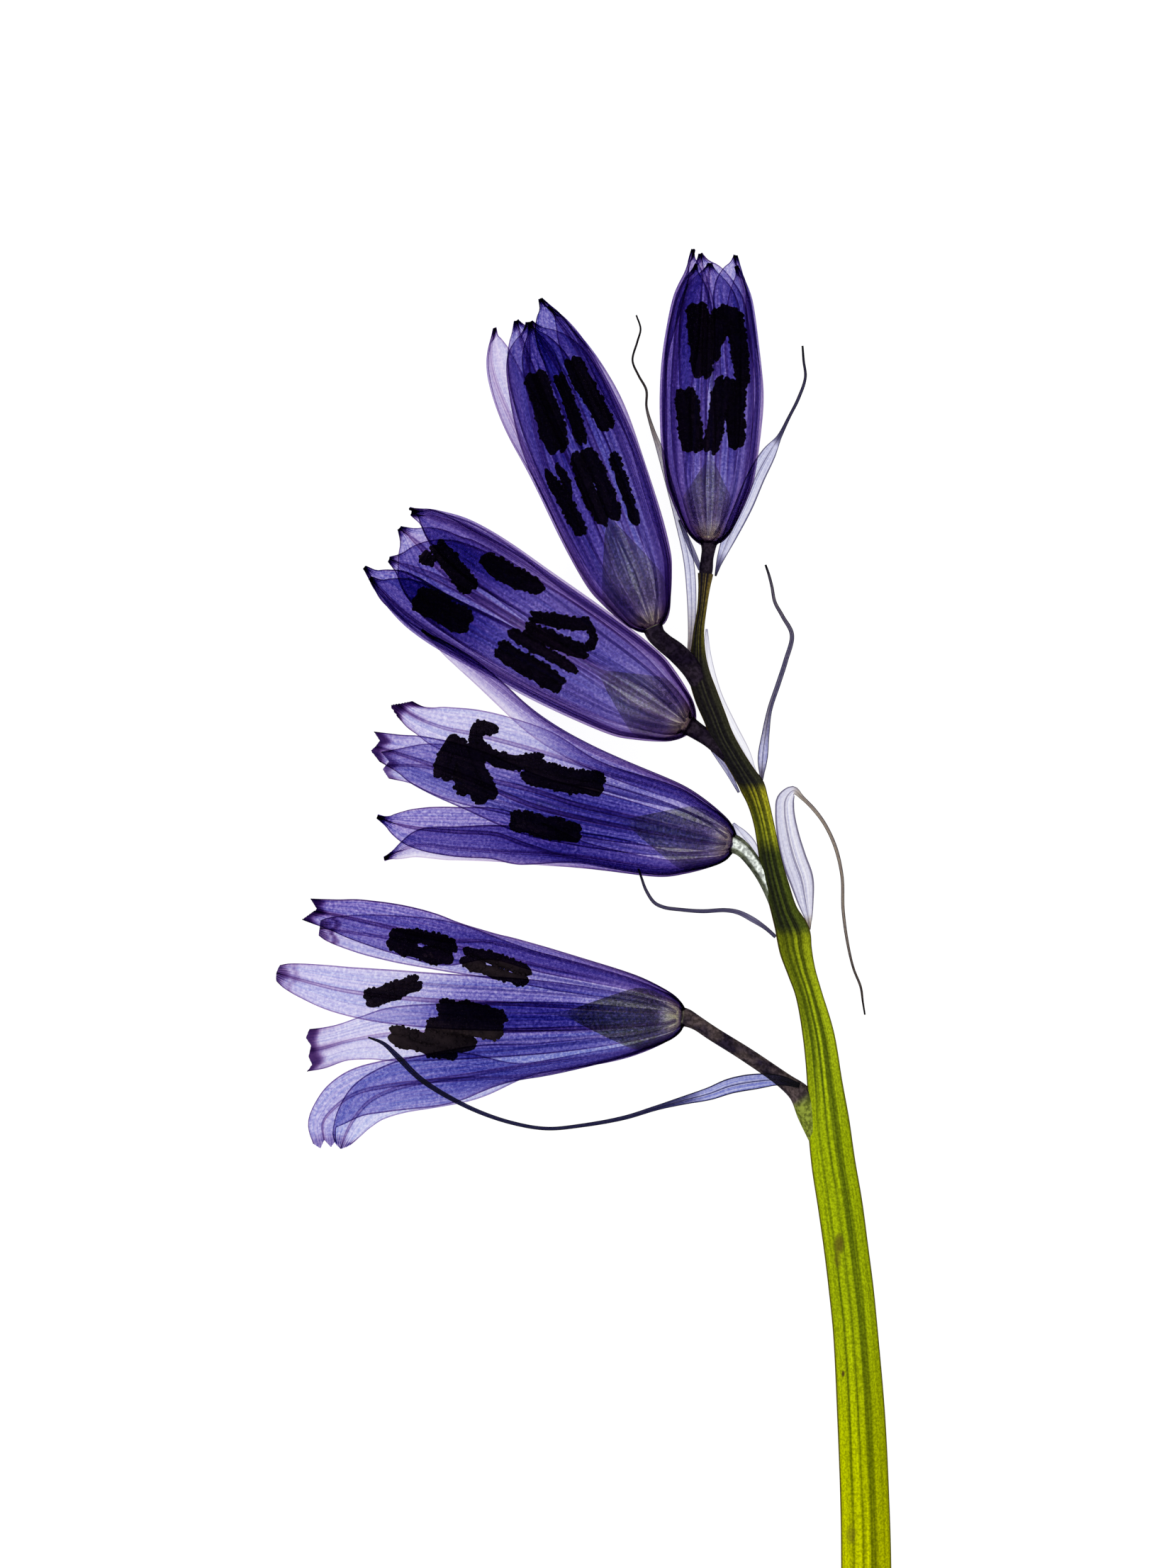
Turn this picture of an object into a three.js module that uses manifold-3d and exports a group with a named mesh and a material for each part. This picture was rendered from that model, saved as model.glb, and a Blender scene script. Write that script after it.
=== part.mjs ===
// English bluebell: one cut flowering stem, laid on its side on a flat surface.
// Millimetres, +Z up. Seen from above, +Y runs up the stem and the five flowers hang towards -X.
// Flower 1 is the closed one at the top, flower 5 the open one lowest on the stem.

import * as THREE from 'three';
import { mergeVertices } from 'three/addons/utils/BufferGeometryUtils.js';
import Module from 'manifold-3d';

// Where the middle of the laid stem's outline falls in the drawing that the points below are given in
const DRAWING_MIDDLE = [-5.8, -6.5];

// Tepals: a thin curved sheet each, three in an outer ring and three in an inner ring.
// A tepal's midline starts at OUTER_START or INNER_START and runs over SHOULDER, as place and radius.
// It has widened by the share TEPAL_WIDE_AT of its length and narrows again from TEPAL_NARROWS_AT on.
const TEPAL_THICKNESS = 0.2;
const TEPAL_FOOT_THINNING = 0.6;
const TEPAL_FOOT_SHARE = 0.2;
const TEPAL_WIDE_AT = 0.45;
const TEPAL_NARROWS_AT = 0.72;
const TEPAL_NARROWING_POWER = 1.6;
const TEPAL_CELLS_ACROSS = 4;
const TEPAL_CELLS_ALONG = 10;
const LEAST_TURNING_RADIUS = 0.3;
const BELL_STEPS = 60;
const RING_STEP = 0.34;
const TEPAL_BASE_HALF_WIDTH = 0.42;
const TEPAL_TIP_HALF_WIDTH = 0.16;
const OUTER_START = [0.3, 0.8];
const INNER_START = [0.55, 1.0];
const SHOULDER = [[1.0, 1.24], [2.0, 1.7], [3.0, 2.03]];

// Inside the bell: the disc that carries the filaments, the anthers and the pistil.
// FILAMENT_RISE is the filaments' own line round the ovary, as place and radius.
const DISC_RADIUS = 0.42;
const DISC_FROM = 0.34;
const DISC_HEIGHT = 0.16;
const DISC_SIDES = 10;
const FILAMENT_RADIUS = 0.09;
const FILAMENT_FOOT_SHARE = 0.55;
const FILAMENT_SIDES = 5;
const FILAMENT_STEPS = 7;
const FILAMENT_RISE = [[1.0, 0.6], [2.0, 1.02], [3.2, 1.3]];
const FILAMENT_OVERLAP = 0.5;
const ANTHER_RADIUS = 0.36;
const ANTHER_CLEARANCE = 0.26;
const ANTHER_CAP_STEPS = 2;
const ANTHER_SIDES = 6;
const PISTIL_FROM = 0.64;
const PISTIL_SIDES = 9;
const OVARY_RADIUS = 0.84;
const OVARY_WIDEST_AT = 2.5;
const STYLE_RADIUS = 0.12;
const STIGMA_RADIUS = 0.2;

// Stem and stalks
const STEM_SIDES = 12;
const STEM_STEPS = 34;
const STALK_GAP = 0.3;
const STALK_LEAD = 0.5;
const STALK_SIDES = 8;
const STALK_STEPS = 8;
const RECEPTACLE_RADIUS = 0.5;
const RECEPTACLE_SHARE = 0.75;

// Bracts: the blade's swell starts at the share BRACT_FOOT of a half wave
const BRACT_FOOT = 0.18;
const BRACT_THICKNESS = 0.16;
const BRACT_STEPS = 20;
const THREAD_HALF_WIDTH = 0.12;

// Stem: x, y, z and radius along its middle line, from the cut end to the top flower
const STEM = [
  [7.3, -48.0, 1.22, 1.2], [7.45, -38.0, 1.62, 1.19], [7.43, -27.0, 2.05, 1.17], [7.18, -20.0, 2.35, 1.12],
  [6.88, -15.5, 2.5, 1.06], [6.25, -10.5, 2.65, 1.05], [5.55, -5.5, 2.75, 0.92], [5.1, -2.0, 2.8, 0.74],
  [4.5, 0.5, 2.8, 0.66], [4.05, 2.6, 2.8, 0.74], [3.45, 4.4, 2.75, 0.6], [2.75, 7.4, 2.7, 0.5],
  [2.15, 9.7, 2.7, 0.56], [1.2, 11.5, 2.7, 0.54], [0.35, 13.4, 2.65, 0.5], [-0.3, 15.2, 2.6, 0.42],
  [-0.5, 16.6, 2.55, 0.3], [-0.38, 18.2, 2.45, 0.27], [-0.2, 19.6, 2.35, 0.33],
];

// One flower each: where its stalk meets the bell, the way the bell points, how far it is pressed flat,
// then the bell's widest ring, its tepals and its stamens.
// A tepal is [angle round the bell, mouth place, mouth radius, tip place, tip radius, half width],
// and one that spreads on its own also gives its radius at the bell's waist.
// A stamen is [place, side] of the anther's far end, the same of its near end, and 1 above or -1 below.
const FLOWERS = [
  {
    base: [0.0, 21.05, 2.38], heading: 89, pitch: -1.5, flat: 0.9, waist: [7.0, 2.38],
    ovary: 4.4, style: 8.6,
    stalk: [[-0.17, 19.9, 2.37], [-0.1, 20.4, 2.38]], stalkRadius: 0.3,
    outer: [
      [20, 11.6, 1.85, 13.9, 0.95, 1.9],
      [140, 11.6, 1.82, 13.6, 0.9, 1.9],
      [260, 11.6, 1.82, 13.7, 0.85, 1.9],
    ],
    inner: [
      [80, 11.6, 1.85, 13.5, 1.0, 1.75],
      [200, 11.6, 1.85, 13.8, 1.1, 1.75],
      [320, 11.6, 1.85, 13.7, 1.0, 1.75],
    ],
    stamens: [
      [11.3, 0.6, 7.9, 0.45, 1], [10.9, -0.6, 8.3, -0.2, -1], [11.0, -0.9, 8.2, -1.5, 1],
      [7.4, 1.43, 4.4, 0.9, -1], [7.7, -0.3, 4.6, -0.1, 1], [7.6, -1.1, 4.6, -1.2, -1],
    ],
  },
  {
    base: [-2.6, 17.0, 4.0], heading: 112, pitch: -8.6, flat: 0.8, waist: [9.0, 2.64],
    ovary: 5.6, style: 10.0,
    stalk: [[-0.5, 14.8, 2.7], [-1.5, 16.0, 3.3]], stalkRadius: 0.42,
    outer: [
      [15, 13.4, 2.78, 16.1, 1.75, 1.9],
      [135, 13.4, 2.32, 16.5, 1.2, 2.0],
      [255, 13.4, 2.4, 15.9, 1.3, 2.0],
    ],
    inner: [
      [75, 13.4, 2.3, 15.9, 1.2, 1.85],
      [195, 13.4, 2.3, 15.8, 1.3, 1.85],
      [315, 13.4, 2.4, 16.1, 1.3, 1.85],
    ],
    stamens: [
      [13.3, 0.84, 9.6, 1.05, 1], [13.0, -0.1, 9.6, -0.7, -1], [13.3, -1.2, 9.7, -1.6, 1],
      [8.7, 1.7, 5.5, 1.3, -1], [8.9, 0.2, 5.6, 0.1, 1], [8.5, -1.4, 5.4, -1.3, -1],
    ],
  },
  {
    base: [-0.8, 12.45, 2.45], heading: 149, pitch: 2.5, flat: 0.75, waist: [9.5, 2.82],
    ovary: 5.2, style: 10.0,
    stalk: [[1.1, 11.5, 2.7], [0.2, 12.0, 2.6]], stalkRadius: 0.4,
    outer: [
      [150, 14.0, 2.95, 16.7, 2.2, 2.0],
      [270, 14.0, 2.75, 16.4, 2.3, 2.0],
      [30, 14.0, 2.8, 17.1, 1.8, 2.0],
    ],
    inner: [
      [90, 14.0, 2.75, 16.2, 2.2, 1.9],
      [210, 14.0, 2.9, 16.8, 2.4, 1.9],
      [330, 14.0, 2.75, 16.4, 2.2, 1.9],
    ],
    stamens: [
      [14.3, 1.3, 11.2, 1.2, 1], [14.4, -1.0, 11.6, -0.3, -1], [12.4, -1.6, 9.4, -1.9, 1],
      [9.1, -0.9, 6.2, -1.4, -1], [9.1, -0.2, 6.0, -0.6, 1], [9.6, 1.2, 6.2, 1.0, -1],
    ],
  },
  {
    base: [1.25, 6.95, 2.6], heading: 168, pitch: -1.2, flat: 0.66, waist: [7.5, 2.6],
    ovary: 5.4, style: 9.6,
    stalk: [[3.4, 4.0, 2.8], [2.55, 5.5, 2.75]], stalkRadius: 0.32,
    outer: [
      [202, 12.2, 5.75, 16.6, 7.4, 1.4, 3.7],
      [84, 12.0, 3.6, 17.5, 4.2, 1.5],
      [324, 12.0, 3.5, 16.1, 4.6, 1.5, 2.45],
    ],
    inner: [
      [144, 12.0, 4.0, 16.8, 4.6, 1.3],
      [264, 12.0, 3.4, 17.2, 3.6, 1.5],
      [24, 12.0, 3.5, 16.6, 3.2, 1.5, 2.45],
    ],
    stamens: [
      [13.4, -1.5, 11.0, 0.1, 1], [12.8, -0.5, 10.0, 0.8, -1], [12.4, -2.6, 9.6, -2.3, 1],
      [10.2, -1.4, 6.6, -1.5, 1], [9.8, -1.0, 6.8, -1.3, -1], [10.3, 0.95, 7.1, 0.75, 1],
    ],
  },
  {
    base: [-1.1, -1.15, 2.8], heading: 178.5, pitch: 1.6, flat: 0.66, waist: [7.0, 3.2],
    ovary: 5.8, style: 10.6,
    stalk: [[4.9, -4.9, 2.75], [1.8, -2.95, 2.75]], stalkRadius: 0.34,
    outer: [
      [165, 13.5, 4.8, 17.4, 5.2, 1.5],
      [285, 13.5, 4.4, 17.6, 5.0, 1.3],
      [38, 12.8, 4.5, 16.1, 7.0, 1.5],
    ],
    inner: [
      [225, 13.5, 4.7, 17.8, 5.6, 1.4],
      [344, 12.8, 4.8, 16.8, 7.0, 1.6, 3.3],
      [105, 13.5, 4.3, 19.2, 4.6, 1.3],
    ],
    stamens: [
      [14.0, -3.3, 10.9, -2.4, 1], [10.6, -2.5, 7.4, -1.5, 1], [15.0, -0.5, 12.2, -1.6, -1],
      [13.8, 1.2, 10.6, 1.8, -1], [11.8, 0.5, 8.8, 0.2, 1], [12.0, 0.9, 9.0, 1.0, -1],
    ],
  },
];

// Bracts: a blade that narrows to a thread, as points on its middle line.
// widest is the blade's half width, and blade the part of the length that it takes.
const BRACTS = {
  flower1_bract: {
    widest: 0.45, blade: 0.6,
    line: [[0.35, 19.7, 2.1], [0.85, 21.0, 1.4], [1.75, 22.9, 0.85], [2.45, 24.6, 0.75], [3.35, 26.0, 0.8],
      [4.1, 27.7, 0.9], [4.55, 29.0, 0.9], [4.45, 30.5, 0.8]],
  },
  flower1_bracteole: {
    widest: 0.16, blade: 0.9,
    line: [[-0.62, 19.7, 2.3], [-0.8, 20.7, 2.6], [-1.15, 21.5, 2.9], [-1.5, 22.2, 3.1]],
  },
  flower2_bract: {
    widest: 0.26, blade: 0.7,
    line: [[-1.1, 16.3, 2.3], [-0.92, 18.0, 2.0], [-1.05, 20.3, 1.6], [-1.55, 22.4, 1.1], [-2.15, 24.6, 0.9],
      [-2.7, 26.7, 0.9], [-2.95, 28.2, 0.9], [-3.6, 29.8, 0.9], [-3.2, 31.2, 0.8], [-3.4, 32.0, 0.7]],
  },
  flower2_bracteole: {
    widest: 0.2, blade: 0.8,
    line: [[2.75, 10.5, 2.5], [1.95, 11.8, 2.4], [1.2, 13.2, 2.3], [0.68, 14.8, 2.2], [0.2, 16.5, 2.2]],
  },
  flower3_bract: {
    widest: 0.18, blade: 0.45,
    line: [[2.85, 10.2, 2.8], [2.85, 12.0, 2.6], [3.05, 14.0, 2.2], [3.6, 16.0, 1.7], [3.95, 16.9, 1.5],
      [3.3, 18.1, 1.3], [3.0, 19.1, 1.1], [2.7, 20.15, 0.9]],
  },
  flower3_bracteole: {
    widest: 0.14, blade: 0.8,
    line: [[1.2, 9.7, 2.2], [0.75, 10.3, 2.2], [0.3, 11.0, 2.2], [-0.05, 11.55, 2.1]],
  },
  flower4_bract: {
    widest: 0.5, blade: 0.42,
    line: [[5.1, 3.3, 2.7], [4.75, 4.8, 2.7], [4.2, 6.6, 2.7], [3.8, 8.5, 2.7], [4.05, 9.5, 2.65],
      [5.0, 8.7, 2.4], [5.9, 7.2, 1.9], [6.35, 5.2, 1.5], [6.45, 3.0, 1.2], [7.1, 0.6, 0.9],
      [7.4, -1.1, 0.7]],
  },
  flower4_bracteole: {
    widest: 0.2, blade: 0.5,
    line: [[2.9, 2.9, 2.2], [2.0, 3.5, 1.9], [0.9, 3.85, 1.6], [-0.8, 3.82, 1.3], [-2.2, 4.0, 0.9],
      [-2.9, 4.7, 0.6], [-3.3, 5.7, 0.45]],
  },
  flower4_membrane: {
    widest: 0.25, blade: 0.9,
    line: [[2.4, 6.75, 2.2], [2.05, 7.2, 2.2], [1.55, 7.75, 2.2]],
  },
  flower5_bract: {
    widest: 0.34, blade: 0.5,
    line: [[4.15, -4.6, 3.45], [2.6, -4.35, 3.7], [0.6, -4.5, 4.3], [-2.0, -5.25, 5.0], [-5.0, -6.0, 5.4],
      [-7.6, -6.3, 5.8], [-10.2, -5.7, 6.6], [-12.6, -4.5, 7.3], [-14.5, -2.9, 7.5], [-15.9, -1.97, 7.5]],
  },
};

const LOOKS = {
  stem: { color: 0x9fb31a, roughness: 0.45 },
  stalk: { color: 0x2b2450, roughness: 0.5 },
  outerTepal: { color: 0x6a58c4, roughness: 0.6 },
  innerTepal: { color: 0x8172d2, roughness: 0.6 },
  stamens: { color: 0x1b1714, roughness: 0.85 },
  pistil: { color: 0x7d8474, roughness: 0.6 },
  bract: { color: 0xb9b8dc, roughness: 0.6 },
};

const MERGE_DISTANCE = 1e-4;

const wasm = await Module();
wasm.setup();

function namedMesh(name, geometry, look) {
  const material = new THREE.MeshStandardMaterial({ ...look, metalness: 0 });
  const mesh = new THREE.Mesh(geometry, material);
  mesh.name = name;
  return mesh;
}

function mergedShape(geometry) {
  geometry.deleteAttribute('normal');
  geometry.deleteAttribute('uv');
  return mergeVertices(geometry, MERGE_DISTANCE);
}

function mapShape(geometry, placePoint) {
  const merged = mergedShape(geometry);
  const place = merged.attributes.position;
  for (let i = 0; i < place.count; i += 1) {
    const moved = placePoint(place.getX(i), place.getY(i), place.getZ(i));
    place.setXYZ(i, moved.x, moved.y, moved.z);
  }
  return merged;
}

function toManifold(geometry) {
  return new wasm.Manifold(new wasm.Mesh({
    numProp: 3,
    vertProperties: new Float32Array(geometry.attributes.position.array),
    triVerts: new Uint32Array(geometry.index.array),
  }));
}

function fromManifold(solid) {
  const mesh = solid.getMesh();
  const geometry = new THREE.BufferGeometry();
  geometry.setAttribute('position', new THREE.BufferAttribute(mesh.vertProperties, 3));
  geometry.setIndex(new THREE.BufferAttribute(mesh.triVerts, 1));
  return geometry;
}

function polar(along, radius, angle) {
  return new THREE.Vector3(along, radius * Math.cos(angle), radius * Math.sin(angle));
}

function blend(from, to, share) {
  return THREE.MathUtils.lerp(from, to, share);
}

function smooth(value, from, to) {
  return THREE.MathUtils.smoothstep(value, from, to);
}

function vectors(rows) {
  return rows.map(([x, y, z]) => new THREE.Vector3(x, y, z));
}

function smoothLine(points) {
  return new THREE.CatmullRomCurve3(points, false, 'centripetal');
}

// A round bar that follows a line and changes radius on the way
function taperedBar(points, radiusAt, sides, steps) {
  const line = smoothLine(points);
  const frames = line.computeFrenetFrames(steps, false);
  const bar = new THREE.CylinderGeometry(1, 1, 1, sides, steps);
  return mapShape(bar, (x, y, z) => {
    const share = y + 0.5;
    const step = Math.round(share * steps);
    const radius = radiusAt(share);
    return line.getPointAt(share)
      .addScaledVector(frames.normals[step], -x * radius)
      .addScaledVector(frames.binormals[step], z * radius);
  });
}

// The share of the stem's length that lies before each of its points
function stemShares() {
  const points = vectors(STEM);
  const reached = [0];
  for (let i = 1; i < points.length; i += 1) {
    reached.push(reached[i - 1] + points[i].distanceTo(points[i - 1]));
  }
  return reached.map((length) => length / reached[reached.length - 1]);
}

// The stem, or with grow above 0 a thicker copy of it that the stalks are cut back by
function stemBar(grow) {
  const shares = stemShares();
  const radiusAt = (share) => {
    const found = shares.findIndex((reached) => reached >= share);
    const next = Math.max(found < 0 ? STEM.length - 1 : found, 1);
    const part = (share - shares[next - 1]) / (shares[next] - shares[next - 1]);
    return blend(STEM[next - 1][3], STEM[next][3], part) + grow;
  };
  return taperedBar(vectors(STEM), radiusAt, STEM_SIDES, STEM_STEPS);
}

// A tepal's midline from the bell's foot to the tip, as place along the bell and radius
function tepalLine(flower, tepal, isInner) {
  const [, mouthPlace, mouthRadius, tipPlace, tipRadius, , waistRadius = flower.waist[1]] = tepal;
  const drop = isInner ? RING_STEP : 0;
  const points = [isInner ? INNER_START : OUTER_START, ...SHOULDER, [flower.waist[0], waistRadius],
    [mouthPlace, mouthRadius], [tipPlace, tipRadius]];
  return new THREE.SplineCurve(points.map(([s, r]) => new THREE.Vector2(s, r - drop)));
}

// A tepal widens from a narrow foot and closes to a small tip
function tepalHalfWidth(share, widest) {
  const opening = blend(TEPAL_BASE_HALF_WIDTH, widest, smooth(share, 0, TEPAL_WIDE_AT));
  const closing = smooth(share, TEPAL_NARROWS_AT, 1) ** TEPAL_NARROWING_POWER;
  return blend(opening, TEPAL_TIP_HALF_WIDTH, closing);
}

function tepalShape(flower, tepal, isInner) {
  const line = tepalLine(flower, tepal, isInner);
  const middle = THREE.MathUtils.degToRad(tepal[0]);
  const sheet = new THREE.BoxGeometry(2, 1, 1, TEPAL_CELLS_ACROSS, TEPAL_CELLS_ALONG, 1);
  return mapShape(sheet, (across, along, depth) => {
    const share = along + 0.5;
    const point = line.getPointAt(share);
    const tangent = line.getTangentAt(share);
    const thinning = blend(TEPAL_FOOT_THINNING, 1, smooth(share, 0, TEPAL_FOOT_SHARE));
    const thick = TEPAL_THICKNESS * thinning * depth;
    const turn = tepalHalfWidth(share, tepal[5]) / Math.max(point.y, LEAST_TURNING_RADIUS);
    return polar(point.x - tangent.y * thick, point.y + tangent.x * thick, middle + across * turn);
  });
}

// The bell's radius at a place along it, as the second outer tepal has it
function bellRadius(flower, place) {
  const reached = tepalLine(flower, flower.outer[1], false)
    .getSpacedPoints(BELL_STEPS)
    .filter((point) => point.x <= place);
  return reached[reached.length - 1].y;
}

// Where an anther's end lies: at its place and side, as near the tepals above or below as it fits
function insideBell(flower, place, side, sign) {
  const innerFace = bellRadius(flower, place) - RING_STEP - TEPAL_THICKNESS / 2;
  const reach = innerFace - ANTHER_CLEARANCE - ANTHER_RADIUS;
  const across = THREE.MathUtils.clamp(side, -reach, reach);
  return new THREE.Vector3(place, across, sign * Math.sqrt(Math.max(reach * reach - across * across, 0)));
}

function antherSolid(far, near) {
  const middle = far.clone().add(near).multiplyScalar(0.5);
  const turn = new THREE.Quaternion().setFromUnitVectors(
    new THREE.Vector3(0, 1, 0),
    far.clone().sub(near).normalize(),
  );
  const straight = far.distanceTo(near) - 2 * ANTHER_RADIUS;
  const capsule = new THREE.CapsuleGeometry(ANTHER_RADIUS, straight, ANTHER_CAP_STEPS, ANTHER_SIDES);
  capsule.applyQuaternion(turn);
  capsule.translate(middle.x, middle.y, middle.z);
  return toManifold(mergedShape(capsule));
}

function filamentSolid(flower, near) {
  const angle = Math.atan2(near.z, near.y);
  const start = polar(DISC_FROM + DISC_HEIGHT / 2, DISC_RADIUS * FILAMENT_FOOT_SHARE, angle);
  const rise = FILAMENT_RISE.map(([place, radius]) => polar(place, radius, angle));
  const end = near.clone().setX(near.x + FILAMENT_OVERLAP);
  const points = [start, ...rise, end];
  return toManifold(taperedBar(points, () => FILAMENT_RADIUS, FILAMENT_SIDES, FILAMENT_STEPS));
}

function stamenShape(flower) {
  const disc = new THREE.CylinderGeometry(DISC_RADIUS, DISC_RADIUS, DISC_HEIGHT, DISC_SIDES, 1);
  disc.rotateZ(-Math.PI / 2);
  disc.translate(DISC_FROM + DISC_HEIGHT / 2, 0, 0);
  let whole = toManifold(mergedShape(disc));
  flower.stamens.forEach(([farPlace, farSide, nearPlace, nearSide, sign]) => {
    const far = insideBell(flower, farPlace, farSide, sign);
    const near = insideBell(flower, nearPlace, nearSide, sign);
    whole = whole.add(antherSolid(far, near)).add(filamentSolid(flower, near));
  });
  return fromManifold(whole);
}

function pistilShape(flower) {
  const { ovary, style } = flower;
  const outline = [
    [0, PISTIL_FROM],
    [OVARY_RADIUS * 0.22, PISTIL_FROM],
    [OVARY_RADIUS * 0.48, 1.0],
    [OVARY_RADIUS * 0.9, 1.7],
    [OVARY_RADIUS, OVARY_WIDEST_AT],
    [OVARY_RADIUS * 0.86, blend(OVARY_WIDEST_AT, ovary, 0.4)],
    [OVARY_RADIUS * 0.5, blend(OVARY_WIDEST_AT, ovary, 0.75)],
    [STYLE_RADIUS * 1.5, ovary],
    [STYLE_RADIUS, style - 0.4],
    [STIGMA_RADIUS, style - 0.1],
    [0, style],
  ];
  const profile = outline.map(([radius, place]) => new THREE.Vector2(radius, place));
  const lathe = new THREE.LatheGeometry(profile, PISTIL_SIDES);
  lathe.rotateZ(-Math.PI / 2);
  return mergedShape(lathe);
}

function bellTurn(flower) {
  const pitch = THREE.MathUtils.degToRad(flower.pitch);
  const heading = THREE.MathUtils.degToRad(flower.heading);
  return new THREE.Euler(0, -pitch, heading, 'ZYX');
}

// The stalk runs its last stretch in line with the bell
function stalkShape(flower, stemCutter) {
  const along = new THREE.Vector3(1, 0, 0).applyEuler(bellTurn(flower));
  const base = new THREE.Vector3(...flower.base);
  const lead = base.clone().addScaledVector(along, -STALK_LEAD);
  const points = [...vectors(flower.stalk), lead, base];
  const radiusAt = (share) => (
    blend(flower.stalkRadius, RECEPTACLE_RADIUS, smooth(share, RECEPTACLE_SHARE, 1))
  );
  const bar = toManifold(taperedBar(points, radiusAt, STALK_SIDES, STALK_STEPS));
  return fromManifold(bar.subtract(stemCutter));
}

function bractHalfWidth(bract, share) {
  const wave = BRACT_FOOT + ((1 - BRACT_FOOT) * share) / bract.blade;
  const swell = Math.sin(Math.PI * THREE.MathUtils.clamp(wave, 0, 1));
  return Math.max(THREAD_HALF_WIDTH, bract.widest * swell);
}

// A bract is a flat strip that keeps its face towards +Z
function bractShape(bract) {
  const line = smoothLine(vectors(bract.line));
  const up = new THREE.Vector3(0, 0, 1);
  const strip = new THREE.BoxGeometry(2, 1, 1, 2, BRACT_STEPS, 1);
  return mapShape(strip, (across, along, depth) => {
    const share = along + 0.5;
    const tangent = line.getTangentAt(share);
    const sideways = new THREE.Vector3().crossVectors(tangent, up).normalize();
    const normal = new THREE.Vector3().crossVectors(sideways, tangent).normalize();
    return line.getPointAt(share)
      .addScaledVector(sideways, across * bractHalfWidth(bract, share))
      .addScaledVector(normal, depth * BRACT_THICKNESS);
  });
}

function flowerGroup(flower, number) {
  const group = new THREE.Group();
  group.position.set(...flower.base);
  group.setRotationFromEuler(bellTurn(flower));
  group.scale.set(1, 1, flower.flat);
  flower.outer.forEach((tepal, i) => {
    const name = `flower${number}_outer_tepal_${i + 1}`;
    group.add(namedMesh(name, tepalShape(flower, tepal, false), LOOKS.outerTepal));
  });
  flower.inner.forEach((tepal, i) => {
    const name = `flower${number}_inner_tepal_${i + 1}`;
    group.add(namedMesh(name, tepalShape(flower, tepal, true), LOOKS.innerTepal));
  });
  group.add(namedMesh(`flower${number}_stamens`, stamenShape(flower), LOOKS.stamens));
  group.add(namedMesh(`flower${number}_pistil`, pistilShape(flower), LOOKS.pistil));
  return group;
}

function bluebell() {
  const plant = new THREE.Group();
  const stemCutter = toManifold(stemBar(STALK_GAP));
  plant.add(namedMesh('stem', stemBar(0), LOOKS.stem));
  FLOWERS.forEach((flower, i) => {
    plant.add(flowerGroup(flower, i + 1));
    plant.add(namedMesh(`flower${i + 1}_stalk`, stalkShape(flower, stemCutter), LOOKS.stalk));
  });
  Object.entries(BRACTS).forEach(([name, bract]) => {
    plant.add(namedMesh(name, bractShape(bract), LOOKS.bract));
  });
  plant.position.set(-DRAWING_MIDDLE[0], -DRAWING_MIDDLE[1], 0);
  return plant;
}

export default bluebell();
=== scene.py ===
import logging
import math
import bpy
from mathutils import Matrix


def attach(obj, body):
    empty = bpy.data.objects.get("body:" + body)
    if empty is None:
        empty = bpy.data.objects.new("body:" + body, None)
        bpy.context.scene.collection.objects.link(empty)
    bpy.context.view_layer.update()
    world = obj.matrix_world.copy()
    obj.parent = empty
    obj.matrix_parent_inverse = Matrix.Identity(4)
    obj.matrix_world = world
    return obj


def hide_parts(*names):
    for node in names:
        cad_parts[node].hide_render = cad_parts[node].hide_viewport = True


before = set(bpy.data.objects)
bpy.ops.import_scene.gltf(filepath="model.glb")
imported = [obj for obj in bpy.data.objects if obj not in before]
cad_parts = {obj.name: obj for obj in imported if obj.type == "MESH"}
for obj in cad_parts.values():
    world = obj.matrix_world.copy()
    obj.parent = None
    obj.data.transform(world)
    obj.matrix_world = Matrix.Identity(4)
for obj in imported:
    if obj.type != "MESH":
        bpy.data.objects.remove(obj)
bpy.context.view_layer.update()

import zlib
from dataclasses import dataclass, field
from enum import Enum
from typing import Any, Callable, Mapping, Sequence

import bmesh
import bpy
import numpy as np
from mathutils import Vector

# A cut bluebell stem that lies flat and is lit through its tissue: overlapping layers darken each other.
# The plant's points are given in the drawing, in millimetres: x to the right, y up, z above the floor.
# ORIGIN is where the drawing's zero lies in the frame.
MM = 0.001
ORIGIN = (5.8, 6.5, 0.0)

# Points of a mesh that are nearer than this, in metres, are one point.
MERGE_DISTANCE = 1e-8

# The picture: its size, the pixel of the drawing's zero, and its scale
PICTURE_SIZE = (1659, 2212)
PICTURE_ZERO = (1000, 1400)
PIXELS_PER_MM = 30.0

LOG = logging.getLogger("bluebell")

Row = tuple[float, ...]
Rows = tuple[Row, ...]
Socket = bpy.types.NodeSocket
Mesh = bpy.types.Mesh
Material = bpy.types.Material


def to_frame(points: np.ndarray) -> np.ndarray:
    """Gives drawing points, in millimetres, as places in the frame, in metres."""
    return (np.asarray(points, float) + np.array(ORIGIN)) * MM


def ease(values: np.ndarray | float, start: float, end: float) -> np.ndarray:
    """Rises smoothly from 0 at start to 1 at end."""
    share = np.clip((np.asarray(values, float) - start) / (end - start), 0.0, 1.0)
    return share * share * (3.0 - 2.0 * share)


def unit(rows: np.ndarray) -> np.ndarray:
    """Gives each row at the length of one."""
    return rows / np.linalg.norm(rows, axis=1)[:, None]


def opaque(colour: Sequence[float]) -> Row:
    """Gives a colour with its fourth number, for a colour socket."""
    return (*colour, 1.0)


def name_seed(name: str) -> int:
    """Gives a number that is always the same for the same name."""
    return zlib.crc32(name.encode()) % 100000


def placed_object(name: str, data: Any) -> bpy.types.Object:
    """Makes an object and puts it in the scene.

    Args:
        name: the object's name.
        data: the mesh, the lamp or the camera that it holds.

    Returns:
        The object.
    """
    holder = bpy.data.objects.new(name, data)
    bpy.context.scene.collection.objects.link(holder)
    return holder


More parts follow.
